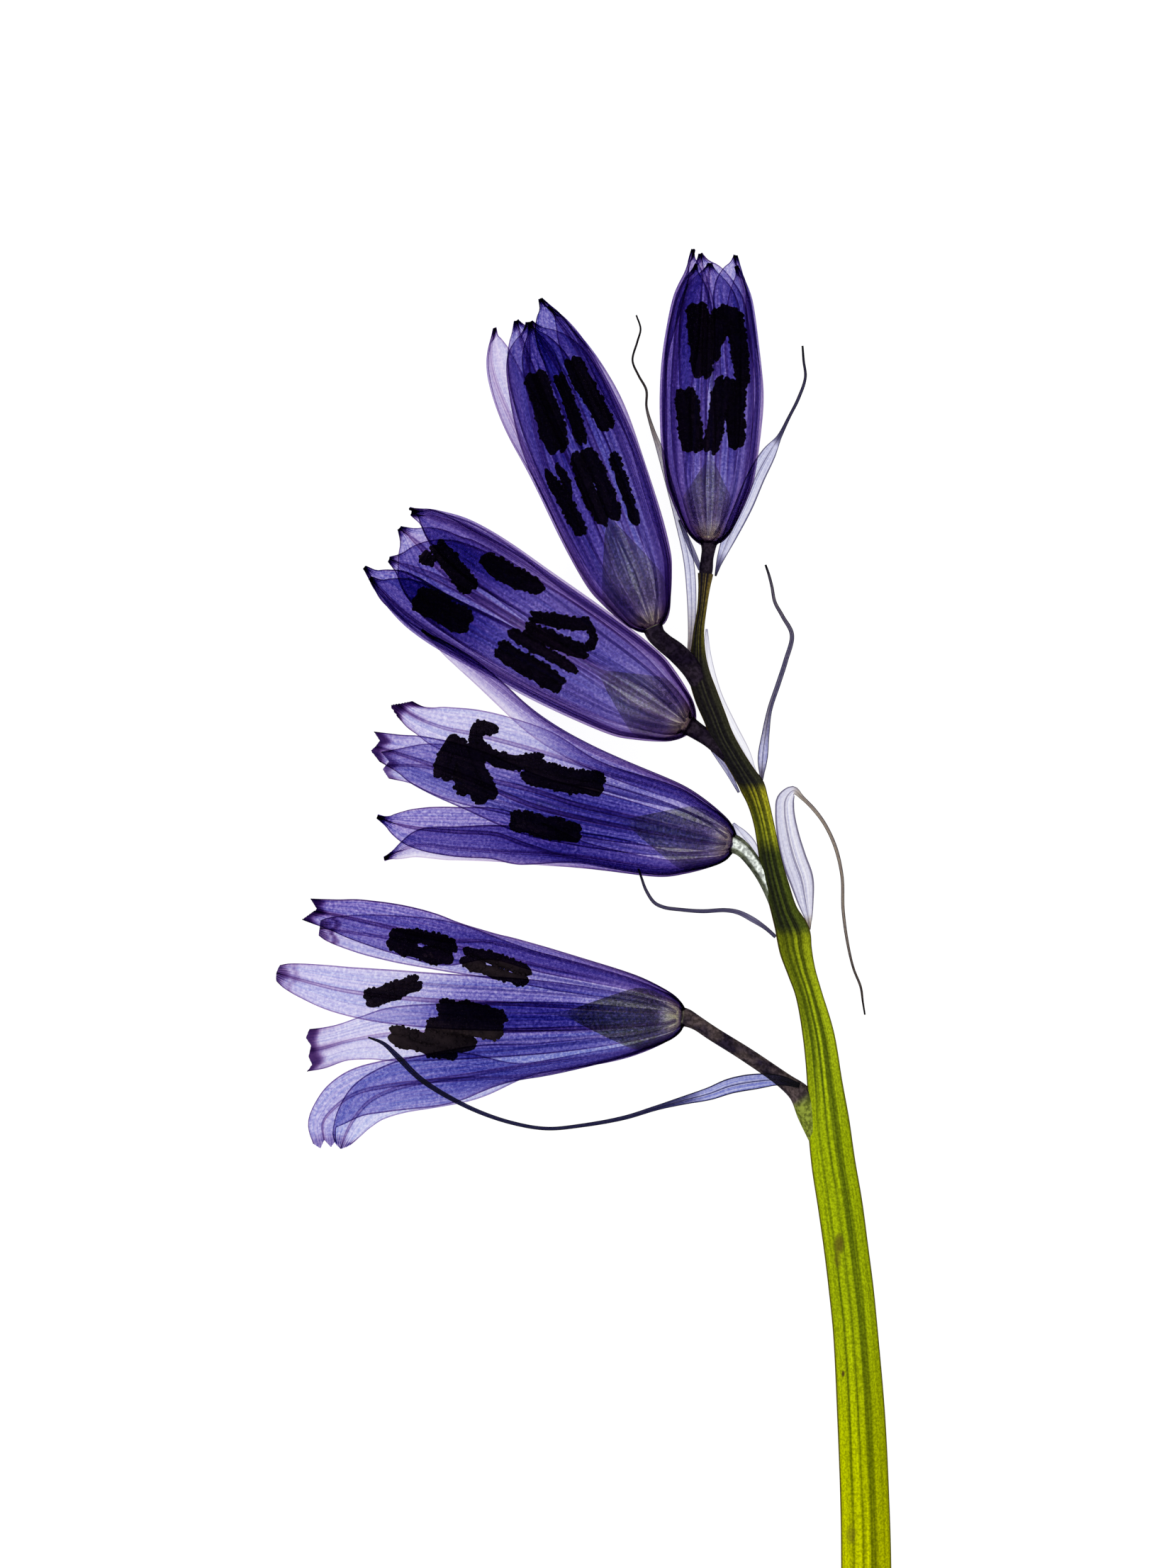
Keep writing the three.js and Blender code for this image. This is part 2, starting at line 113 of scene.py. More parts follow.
@dataclass(frozen=True)
class SmoothLine:
    """A smooth line through rows of numbers; the first few of a row are its place."""

    rows: Sequence[Row]
    places: int = 3
    span_steps: int = 24

    def fine(self) -> np.ndarray:
        """Runs a centripetal curve through the rows.

        Returns:
            Many rows along the curve, not evenly spaced.
        """
        points = np.asarray(self.rows, float)
        ends = np.vstack([2 * points[0] - points[1], points, 2 * points[-1] - points[-2]])
        chords = np.linalg.norm(np.diff(ends[:, : self.places], axis=0), axis=1)
        knots = np.concatenate([[0.0], np.cumsum(np.sqrt(np.maximum(chords, 1e-9)))])
        spans = []
        for i in range(1, len(ends) - 2):
            t0, t1, t2, t3 = knots[i - 1:i + 3]
            p0, p1, p2, p3 = ends[i - 1:i + 3]
            t = np.linspace(t1, t2, self.span_steps, endpoint=False)[:, None]
            a1 = (t1 - t) / (t1 - t0) * p0 + (t - t0) / (t1 - t0) * p1
            a2 = (t2 - t) / (t2 - t1) * p1 + (t - t1) / (t2 - t1) * p2
            a3 = (t3 - t) / (t3 - t2) * p2 + (t - t2) / (t3 - t2) * p3
            b1 = (t2 - t) / (t2 - t0) * a1 + (t - t0) / (t2 - t0) * a2
            b2 = (t3 - t) / (t3 - t1) * a2 + (t - t1) / (t3 - t1) * a3
            spans.append((t2 - t) / (t2 - t1) * b1 + (t - t1) / (t2 - t1) * b2)
        return np.vstack([*spans, points[-1:]])

    def evenly(self, count: int) -> np.ndarray:
        """Gives rows at even steps of the line's length.

        Args:
            count: how many rows to give.

        Returns:
            An array of count rows.
        """
        fine = self.fine()
        steps = np.linalg.norm(np.diff(fine[:, : self.places], axis=0), axis=1)
        reached = np.concatenate([[0.0], np.cumsum(steps)])
        wanted = np.linspace(0.0, reached[-1], count)
        return np.column_stack([np.interp(wanted, reached, column) for column in fine.T])


class NodeWeb:
    """Adds nodes to one node tree and links them."""

    def __init__(self, tree: bpy.types.NodeTree) -> None:
        """Starts work on a tree."""
        self.tree = tree

    @staticmethod
    def socket(sockets: Any, key: str | int) -> Socket:
        """Finds the socket in use that has this name or number."""
        if isinstance(key, int):
            return sockets[key]
        return next(s for s in sockets if s.name == key and s.enabled)

    def feed(self, socket: Socket, value: Any) -> None:
        """Links a socket to the given one, or sets its number or colour.

        Args:
            socket: the input to feed.
            value: another socket, or what the input is set to.
        """
        if isinstance(value, Socket):
            self.tree.links.new(value, socket)
        else:
            socket.default_value = value

    def add(self, kind: str, feeds: Mapping[str | int, Any] | None = None,
            **settings: Any) -> bpy.types.Node:
        """Adds one node.

        Args:
            kind: the node's Blender type.
            feeds: what goes into its inputs, by name or number.
            settings: its own properties.

        Returns:
            The node.
        """
        node = self.tree.nodes.new(kind)
        for key, value in settings.items():
            setattr(node, key, value)
        for key, value in (feeds or {}).items():
            self.feed(self.socket(node.inputs, key), value)
        return node

    def out(self, node: bpy.types.Node, key: str | int = 0) -> Socket:
        """Gives a node's output socket by name or number."""
        return self.socket(node.outputs, key)

    def math(self, operation: str, *values: Any, clamp: bool = False) -> Socket:
        """Adds a Math node over one to three numbers and gives its result."""
        node = self.add("ShaderNodeMath", dict(enumerate(values)), operation=operation, use_clamp=clamp)
        return node.outputs[0]

    def plus(self, first: Any, second: Any) -> Socket:
        """Adds two numbers."""
        return self.math("ADD", first, second)

    def minus(self, first: Any, second: Any) -> Socket:
        """Takes the second number from the first."""
        return self.math("SUBTRACT", first, second)

    def times(self, first: Any, second: Any) -> Socket:
        """Multiplies two numbers."""
        return self.math("MULTIPLY", first, second)

    def times_plus(self, first: Any, second: Any, added: Any, clamp: bool = False) -> Socket:
        """Multiplies two numbers and adds a third."""
        return self.math("MULTIPLY_ADD", first, second, added, clamp=clamp)

    def size(self, value: Any) -> Socket:
        """Gives a number without its sign."""
        return self.math("ABSOLUTE", value)

    def vector(self, operation: str, *values: Any, output: str = "Vector") -> Socket:
        """Adds a Vector Math node over one or two vectors and gives its result."""
        node = self.add("ShaderNodeVectorMath", dict(enumerate(values)), operation=operation)
        return self.out(node, output)

    def scaled(self, vector: Any, amount: Any) -> Socket:
        """Gives a vector times a number."""
        node = self.add("ShaderNodeVectorMath", {0: vector, "Scale": amount}, operation="SCALE")
        return self.out(node, "Vector")

    def joined(self, x: Any, y: Any, z: Any = 0.0) -> Socket:
        """Gives the vector of three numbers."""
        return self.add("ShaderNodeCombineXYZ", {"X": x, "Y": y, "Z": z}).outputs[0]

    def split(self, vector: Any) -> bpy.types.bpy_prop_collection:
        """Gives the three numbers of a vector."""
        return self.add("ShaderNodeSeparateXYZ", {0: vector}).outputs

    def ramp(self, value: Any, low: float, high: float, to_low: float = 0.0, to_high: float = 1.0) -> Any:
        """Turns the range low to high smoothly into the range to_low to to_high."""
        feeds = {"Value": value, "From Min": low, "From Max": high, "To Min": to_low, "To Max": to_high}
        return self.out(self.add("ShaderNodeMapRange", feeds, interpolation_type="SMOOTHSTEP"), "Result")

    def colours(self, factor: Any, first: Any, second: Any, blend: str = "MIX") -> Socket:
        """Mixes two colours.

        Args:
            factor: the share of the second colour.
            first: the colour that is there.
            second: the colour that comes over it.
            blend: the way of mixing.

        Returns:
            The mixed colour.
        """
        node = self.add("ShaderNodeMix", data_type="RGBA", blend_type=blend)
        for key, value in (("Factor", factor), ("A", first), ("B", second)):
            self.feed(self.socket(node.inputs, key), value)
        return self.out(node, "Result")

    def noise(self, vector: Any, scale: float, detail: float = 2.0, roughness: float = 0.5) -> Any:
        """Gives smooth noise over a vector, between 0 and 1."""
        feeds = {"Vector": vector, "Scale": scale, "Detail": detail, "Roughness": roughness}
        return self.out(self.add("ShaderNodeTexNoise", feeds))

    def stops(self, value: Any, stops: Sequence[tuple[float, Row]]) -> Socket:
        """Gives the colour that a row of colour stops has at a value.

        Args:
            value: the place along the row, from 0 to 1.
            stops: each stop's place and colour.

        Returns:
            The colour.
        """
        node = self.add("ShaderNodeValToRGB", {0: value})
        ramp = node.color_ramp
        while len(ramp.elements) < len(stops):
            ramp.elements.new(1.0)
        for element, (place, colour) in zip(ramp.elements, stops):
            element.position = place
            element.color = opaque(colour)
        return node.outputs[0]

    def place(self) -> Socket:
        """Gives the place on the object, in metres."""
        return self.add("ShaderNodeTexCoord").outputs["Object"]

    def stored(self, name: str, output: str = "Fac") -> Socket:
        """Gives a value that the mesh holds under a name, in a material."""
        return self.add("ShaderNodeAttribute", attribute_name=name).outputs[output]


class NamedTree:
    """A node tree with named inputs and outputs."""

    def __init__(self, name: str, kind: str, inputs: Mapping[str, str], outputs: Mapping[str, str]) -> None:
        """Makes an empty tree.

        Args:
            name: the tree's name.
            kind: the tree's Blender type.
            inputs: each input's name and kind of socket.
            outputs: each output's name and kind of socket.
        """
        self.tree = bpy.data.node_groups.new(name, kind)
        for way, sockets in (("INPUT", inputs), ("OUTPUT", outputs)):
            for label, socket in sockets.items():
                self.tree.interface.new_socket(label, in_out=way, socket_type=socket)
        self.web = NodeWeb(self.tree)
        self.source = self.web.add("NodeGroupInput")
        self.result = self.web.add("NodeGroupOutput")

    def item(self, label: str) -> Any:
        """Finds an input in the tree's interface."""
        return self.tree.interface.items_tree[label]

    def given(self, label: str) -> Socket:
        """Gives the socket of one of the tree's inputs."""
        return self.source.outputs[label]

    def give(self, label: str, value: Any) -> None:
        """Sends a value out of the tree."""
        self.web.feed(self.result.inputs[label], value)


class GrowthTree(NamedTree):
    """A Geometry Nodes tree that takes a mesh and a material, and the means to run it."""

    def __init__(self, name: str, inputs: Mapping[str, str]) -> None:
        """Makes an empty tree.

        Args:
            name: the tree's name.
            inputs: the name and kind of socket of each input besides the mesh and the material.
        """
        geometry = {"Geometry": "NodeSocketGeometry"}
        inputs = {**geometry, **inputs, "Material": "NodeSocketMaterial"}
        super().__init__(name, "GeometryNodeTree", inputs, geometry)

    def attribute(self, name: str, kind: str = "FLOAT") -> Socket:
        """Gives a value that is stored on the mesh under a name."""
        node = self.web.add("GeometryNodeInputNamedAttribute", {"Name": name}, data_type=kind)
        return self.web.out(node, "Attribute")

    def stored(self, geometry: Any, name: str, value: Any, kind: str = "FLOAT") -> Socket:
        """Stores a value on the points of a geometry under a name."""
        feeds = {"Geometry": geometry, "Name": name, "Value": value}
        return self.web.add("GeometryNodeStoreNamedAttribute", feeds, data_type=kind,
                            domain="POINT").outputs[0]

    def together(self, *geometries: Any) -> Socket:
        """Joins geometries into one.

        Args:
            geometries: the geometries, in order.

        Returns:
            The joined geometry.
        """
        node = self.web.add("GeometryNodeJoinGeometry")
        for geometry in geometries:
            self.tree.links.new(geometry, node.inputs[0])
        return node.outputs[0]

    def finish(self, geometry: Any) -> None:
        """Ends the tree with smooth shading, real copies and the material.

        Args:
            geometry: what the tree has made.
        """
        smooth = self.web.add("GeometryNodeSetShadeSmooth", {"Geometry": geometry})
        real = self.web.add("GeometryNodeRealizeInstances", {"Geometry": smooth.outputs[0]})
        feeds = {"Geometry": real.outputs[0], "Material": self.given("Material")}
        dressed = self.web.add("GeometryNodeSetMaterial", feeds)
        self.give("Geometry", dressed.outputs[0])

    def grow(self, mesh: Mesh, **inputs: Any) -> Mesh:
        """Runs the tree on a mesh.

        Args:
            mesh: the mesh that goes in, which isn't kept.
            inputs: the tree's inputs, with an underscore for a space.

        Returns:
            A plain mesh.
        """
        holder = placed_object(mesh.name, mesh)
        modifier = holder.modifiers.new("grow", "NODES")
        modifier.node_group = self.tree
        for label, value in inputs.items():
            modifier[self.item(label.replace("_", " ")).identifier] = value
        depsgraph = bpy.context.evaluated_depsgraph_get()
        evaluated = holder.evaluated_get(depsgraph)
        grown = bpy.data.meshes.new_from_object(
            evaluated, preserve_all_data_layers=True, depsgraph=depsgraph)
        holder.modifiers.remove(modifier)
        bpy.data.objects.remove(holder)
        bpy.data.meshes.remove(mesh)
        return grown


class ShellTree(GrowthTree):
    """Gives an open sheet its lengthwise ribs and its thickness, as one closed shell."""

    def __init__(self) -> None:
        """Builds the tree."""
        super().__init__("thin shell", {"Ribs": "NodeSocketFloat", "Rib Height": "NodeSocketFloat"})
        web = self.web
        turns = web.times(self.attribute("across"), self.given("Ribs"))
        wave = web.math("COSINE", web.times(turns, math.tau))
        relief = web.times(wave, self.given("Rib Height"))
        inset = web.times(self.attribute("thick"), -0.5)
        normal = web.add("GeometryNodeInputNormal").outputs[0]
        offset = web.scaled(normal, web.plus(relief, inset))
        placed = web.add("GeometryNodeSetPosition", {"Geometry": self.given("Geometry"), "Offset": offset})
        feeds = {"Mesh": placed.outputs[0], "Offset Scale": self.attribute("thick"), "Individual": False}
        raised = web.add("GeometryNodeExtrudeMesh", feeds, mode="FACES")
        under = web.add("GeometryNodeFlipFaces", {"Mesh": placed.outputs[0]})
        joined = self.together(under.outputs[0], raised.outputs["Mesh"])
        feeds = {"Geometry": joined, "Distance": MERGE_DISTANCE}
        self.finish(web.add("GeometryNodeMergeByDistance", feeds).outputs[0])


class BarTree(GrowthTree):
    """Makes a round bar along a line of points, with ridges that run its length."""

    def __init__(self) -> None:
        """Builds the tree."""
        super().__init__("ridged bar", {"Sides": "NodeSocketInt", "Ridges": "NodeSocketFloat",
                                        "Ridge Height": "NodeSocketFloat"})
        web = self.web
        line = web.add("GeometryNodeMeshToCurve", {"Mesh": self.given("Geometry")}).outputs[0]
        line = web.add("GeometryNodeSetCurveNormal", {"Curve": line}, mode="Z_UP").outputs[0]
        line = self.stored(line, "centre", web.add("GeometryNodeInputPosition").outputs[0], "FLOAT_VECTOR")
        line = self.stored(line, "heading", web.add("GeometryNodeInputTangent").outputs[0], "FLOAT_VECTOR")
        line = self.stored(line, "along", web.add("GeometryNodeSplineParameter").outputs["Factor"])
        feeds = {"Resolution": self.given("Sides"), "Radius": 1.0}
        circle = web.add("GeometryNodeCurvePrimitiveCircle", feeds)
        feeds = {"Curve": line, "Profile Curve": circle.outputs[0], "Scale": self.attribute("reach"),
                 "Fill Caps": True}
        bar = web.add("GeometryNodeCurveToMesh", feeds).outputs[0]
        place = web.add("GeometryNodeInputPosition").outputs[0]
        off = web.vector("SUBTRACT", place, self.attribute("centre", "FLOAT_VECTOR"))
        outward = web.vector("NORMALIZE", off)
        heading = self.attribute("heading", "FLOAT_VECTOR")
        side = web.vector("NORMALIZE", web.vector("CROSS_PRODUCT", heading, (0.0, 0.0, 1.0)))
        up = web.vector("CROSS_PRODUCT", side, heading)
        right = web.vector("DOT_PRODUCT", outward, side, output="Value")
        rise = web.vector("DOT_PRODUCT", outward, up, output="Value")
        bar = self.stored(bar, "ring", web.joined(right, rise), "FLOAT_VECTOR")
        turns = web.times(web.math("ARCTAN2", rise, right), self.given("Ridges"))
        height = web.times(web.math("COSINE", turns), self.given("Ridge Height"))
        offset = web.scaled(outward, height)
        self.finish(web.add("GeometryNodeSetPosition", {"Geometry": bar, "Offset": offset}).outputs[0])


class GrainTree(GrowthTree):
    """Covers a closed mesh with small uneven grains."""

    SEED = 11
    SMALLEST = 0.45
    LARGEST = 1.25

    def __init__(self) -> None:
        """Builds the tree."""
        super().__init__("rough grains", {"Density": "NodeSocketFloat", "Grain Size": "NodeSocketFloat"})
        web = self.web
        source = self.given("Geometry")
        feeds = {"Mesh": source, "Density": self.given("Density"), "Seed": self.SEED}
        points = web.add("GeometryNodeDistributePointsOnFaces", feeds, distribute_method="RANDOM")
        feeds = {"Radius": self.given("Grain Size"), "Subdivisions": 1}
        grain = web.add("GeometryNodeMeshIcoSphere", feeds)
        feeds = {"Min": self.SMALLEST, "Max": self.LARGEST, "Seed": self.SEED}
        size = web.add("FunctionNodeRandomValue", feeds, data_type="FLOAT")
        feeds = {"Points": points.outputs["Points"], "Instance": grain.outputs["Mesh"],
                 "Rotation": points.outputs["Rotation"], "Scale": web.out(size, "Value")}
        grains = web.add("GeometryNodeInstanceOnPoints", feeds)
        self.finish(self.together(grains.outputs[0], source))


@dataclass
class Sheet:
    """An open sheet of four-sided cells: a row of points to each step along it."""

    points: np.ndarray
    values: dict[str, Any] = field(default_factory=dict)
    most_fold: float = 3.2

    def fold(self) -> np.ndarray:
        """Works out how much longer the way down through the sheet is than through a level one.

        Returns:
            A number to each point, from 1 to most_fold; the finishes paint shade by it where the sheet is
            steep.
        """
        normal = np.cross(np.gradient(self.points, axis=0), np.gradient(self.points, axis=1))
        length = np.linalg.norm(normal, axis=2)
        upright = np.abs(normal[..., 2]) / np.maximum(length, 1e-12)
        return np.clip(1.0 / np.maximum(upright, 1e-3), 1.0, self.most_fold)

    def mesh(self, name: str) -> Mesh:
        """Makes the sheet's mesh, with its values as attributes and its own UV map.

        Args:
            name: the mesh's name.

        Returns:
            The open mesh.
        """
        steps, width = self.points.shape[:2]
        number = np.arange(steps * width).reshape(steps, width)
        cells = np.stack([number[:-1, :-1], number[:-1, 1:], number[1:, 1:], number[1:, :-1]], axis=-1)
        mesh = bpy.data.meshes.new(name)
        mesh.from_pydata(self.points.reshape(-1, 3).tolist(), [], cells.reshape(-1, 4).tolist())
        across, along = np.meshgrid(np.linspace(0, 1, width), np.linspace(0, 1, steps))
        values = {"across": across, "along": along, "fold": self.fold(), **self.values}
        for label, numbers in values.items():
            store(mesh, label, np.broadcast_to(numbers, (steps, width)).ravel())
        corners = np.empty(len(mesh.loops), np.int32)
        mesh.loops.foreach_get("vertex_index", corners)
        pairs = np.stack([across.ravel(), along.ravel()], axis=1)[corners]
        mesh.uv_layers.new(name="sheet").data.foreach_set("uv", pairs.astype(np.float32).ravel())
        return mesh


def store(mesh: Mesh, label: str, numbers: np.ndarray) -> None:
    """Stores a number on each point of a mesh under a name."""
    mesh.attributes.new(label, "FLOAT", "POINT").data.foreach_set("value", numbers.astype(np.float32))


def line_mesh(name: str, rows: np.ndarray, **values: float) -> Mesh:
    """Makes a line of points for a bar.

    Args:
        name: the mesh's name.
        rows: x, y, z and radius of each point, in metres in the frame.
        values: numbers that hold for the whole line.

    Returns:
        A mesh of points and edges.
    """
    mesh = bpy.data.meshes.new(name)
    mesh.from_pydata(rows[:, :3].tolist(), [(i, i + 1) for i in range(len(rows) - 1)], [])
    store(mesh, "reach", rows[:, 3])
    for label, value in values.items():
        store(mesh, label, np.full(len(rows), value))
    return mesh


def joined_mesh(name: str, meshes: Sequence[Mesh]) -> Mesh:
    """Joins meshes that share one material into one mesh.

    Args:
        name: the new mesh's name.
        meshes: the meshes, which aren't kept.

    Returns:
        The joined mesh.
    """
    holders = [placed_object(name, mesh) for mesh in meshes]
    if len(holders) > 1:
        with bpy.context.temp_override(active_object=holders[0], selected_editable_objects=holders):
            bpy.ops.object.join()
    mesh = holders[0].data
    mesh.name = name
    bpy.data.objects.remove(holders[0])
    return mesh


def show(name: str, mesh: Mesh, node: str) -> None:
    """Shows a finished mesh in place of a node of the frame.

    Args:
        name: the piece's name.
        mesh: its mesh, in its place in the frame.
        node: the node that it replaces.
    """
    piece = placed_object(name, mesh)
    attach(piece, "root")
    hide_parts(node)
    LOG.info("%s: %d faces", name, len(mesh.polygons))


class ShadeGroup(NamedTree):
    """A shader node group with named inputs and outputs, built once and used in several materials."""

    KINDS = {float: "NodeSocketFloat", tuple: "NodeSocketColor", type(None): "NodeSocketVector"}

    def __init__(self, name: str, inputs: Mapping[str, float | Row | None], outputs: Sequence[str],
                 kind: str = "NodeSocketFloat") -> None:
        """Makes an empty group.

        Args:
            name: the group's name.
            inputs: the number or colour that each input is when nothing is linked, or None for a vector.
            outputs: the outputs' names.
            kind: the outputs' kind of socket.
        """
        kinds = {label: self.KINDS[type(value)] for label, value in inputs.items()}
        super().__init__(name, "ShaderNodeTree", kinds, dict.fromkeys(outputs, kind))
        for label, value in inputs.items():
            if value is not None:
                self.item(label).default_value = value

    def use(self, web: NodeWeb, feeds: Mapping[str, Any]) -> Any:
        """Places the group in a material and gives its outputs."""
        return web.add("ShaderNodeGroup", feeds, node_tree=self.tree).outputs


class StackedTint(ShadeGroup):
    """What is left of white light after an amount of tinted layers: the tint to the power of the amount."""

    def __init__(self) -> None:
        """Builds the group."""
        inputs = {"Tint": opaque((0.0, 0.0, 0.0)), "Amount": 1.0}
        super().__init__("stacked tint", inputs, ["Color"], "NodeSocketColor")
        parts = self.web.add("ShaderNodeSeparateColor", {0: self.given("Tint")}).outputs
        left = [self.web.math("POWER", parts[i], self.given("Amount")) for i in range(3)]
        self.give("Color", self.web.add("ShaderNodeCombineColor", dict(enumerate(left))).outputs[0])


class SheetVeins(ShadeGroup):
    """Lengthwise veins, midrib, margin and cell grain of a thin sheet, over its own UV map."""

    def __init__(self) -> None:
        """Builds the group."""
        inputs = {"Sheet": None, "Place": None, "Vein Count": 13.0, "Seed": 0.0, "Grain Scale": 7500.0,
                  "Margin Width": 0.038}
        super().__init__("sheet veins", inputs, ["Veins", "Streaks", "Midrib", "Margin", "Grain"])
        web = self.web
        across, along, _ = web.split(self.given("Sheet"))
        off = web.size(web.minus(across, 0.5))
        self.add_veins(across, along)
        self.add_midrib(off)
        inner = web.minus(0.5, self.given("Margin Width"))
        feeds = {"Value": off, "From Min": inner, "From Max": web.times_plus(inner, 0.3, 0.345)}
        margin = web.add("ShaderNodeMapRange", feeds, interpolation_type="SMOOTHSTEP")
        self.give("Margin", margin.outputs[0])
        grain = web.noise(self.given("Place"), self.given("Grain Scale"), 2.0, 0.65)
        self.give("Grain", web.ramp(grain, 0.3, 0.7))

    def add_veins(self, across: Socket, along: Socket) -> None:
        """Adds the thin veins, which sway and fade in and out, and the softer streaks between them.

        Args:
            across: the place from edge to edge, from 0 to 1.
            along: the place from base to tip, from 0 to 1.
        """
        web, seed = self.web, self.given("Seed")
        wide = web.joined(web.times(across, 5.0), web.times(along, 3.0), seed)
        sway = web.minus(web.noise(wide, 1.0), 0.5)
        bent = web.plus(across, web.times(sway, 0.05))
        turns = web.times(self.given("Vein Count"), math.pi)
        wave = web.math("SINE", web.times(bent, turns))
        line = web.ramp(web.size(wave), 0.34, 0.02)
        thin = web.joined(web.times(bent, 26.0), web.times(along, 1.6), seed)
        streaks = web.noise(thin, 1.0, 3.0, 0.6)
        self.give("Streaks", web.ramp(streaks, 0.32, 0.68))
        self.give("Veins", web.times(line, web.ramp(streaks, 0.35, 0.62, 0.15, 1.0)))

    def add_midrib(self, off: Socket) -> None:
        """Adds the midrib: two thin rails with a softer core between them.

        Args:
            off: how far from the middle, from 0 to 0.5.
        """
        web = self.web
        rails = web.ramp(web.size(web.minus(off, 0.028)), 0.020, 0.004)
        core = web.ramp(off, 0.055, 0.0, 0.0, 0.55)
        self.give("Midrib", web.math("MAXIMUM", rails, core))


class SkinMottle(ShadeGroup):
    """Soft blotches and fine specks of a plant's skin."""

    def __init__(self) -> None:
        """Builds the group."""
        inputs = {"Place": None, "Blotch Scale": 500.0, "Speck Scale": 4000.0}
        super().__init__("skin mottle", inputs, ["Blotches", "Specks"])
        for label, scale, low, high in (("Blotches", "Blotch Scale", 0.35, 0.65),
                                        ("Specks", "Speck Scale", 0.3, 0.7)):
            noise = self.web.noise(self.given("Place"), self.given(scale), 3.0)
            self.give(label, self.web.ramp(noise, low, high))


@dataclass
class SharedGroups:
    """The shader groups that the finishes share."""

    tint: StackedTint = field(default_factory=StackedTint)
    veins: SheetVeins = field(default_factory=SheetVeins)
    mottle: SkinMottle = field(default_factory=SkinMottle)


def blank_material(name: str) -> tuple[Material, NodeWeb, Socket]:
    """Makes a node material with nothing in it but its output.

    Args:
        name: the material's name.

    Returns:
        The material, its node web and the socket that takes its surface.
    """
    material = bpy.data.materials.new(name)
    material.use_nodes = True
    material.node_tree.nodes.clear()
    web = NodeWeb(material.node_tree)
    return material, web, web.add("ShaderNodeOutputMaterial").inputs["Surface"]


@dataclass(frozen=True)
class Relief:
    """A dull surface with fine relief: its roughness, and the relief's strength and height."""

    roughness: float
    strength: float
    distance: float

    def shader(self, web: NodeWeb, colour: Any, height: Any) -> Socket:
        """Adds the dull shader to a material.

        Args:
            web: the material's nodes.
            colour: its colour.
            height: its relief, from 0 to 1.

        Returns:
            The shader's output.
        """
        feeds = {"Strength": self.strength, "Distance": self.distance, "Height": height}
        bump = web.add("ShaderNodeBump", feeds).outputs[0]
        feeds = {"Base Color": colour, "Roughness": self.roughness, "Specular IOR Level": 0.0,
                 "Normal": bump}
        return web.add("ShaderNodeBsdfPrincipled", feeds).outputs[0]


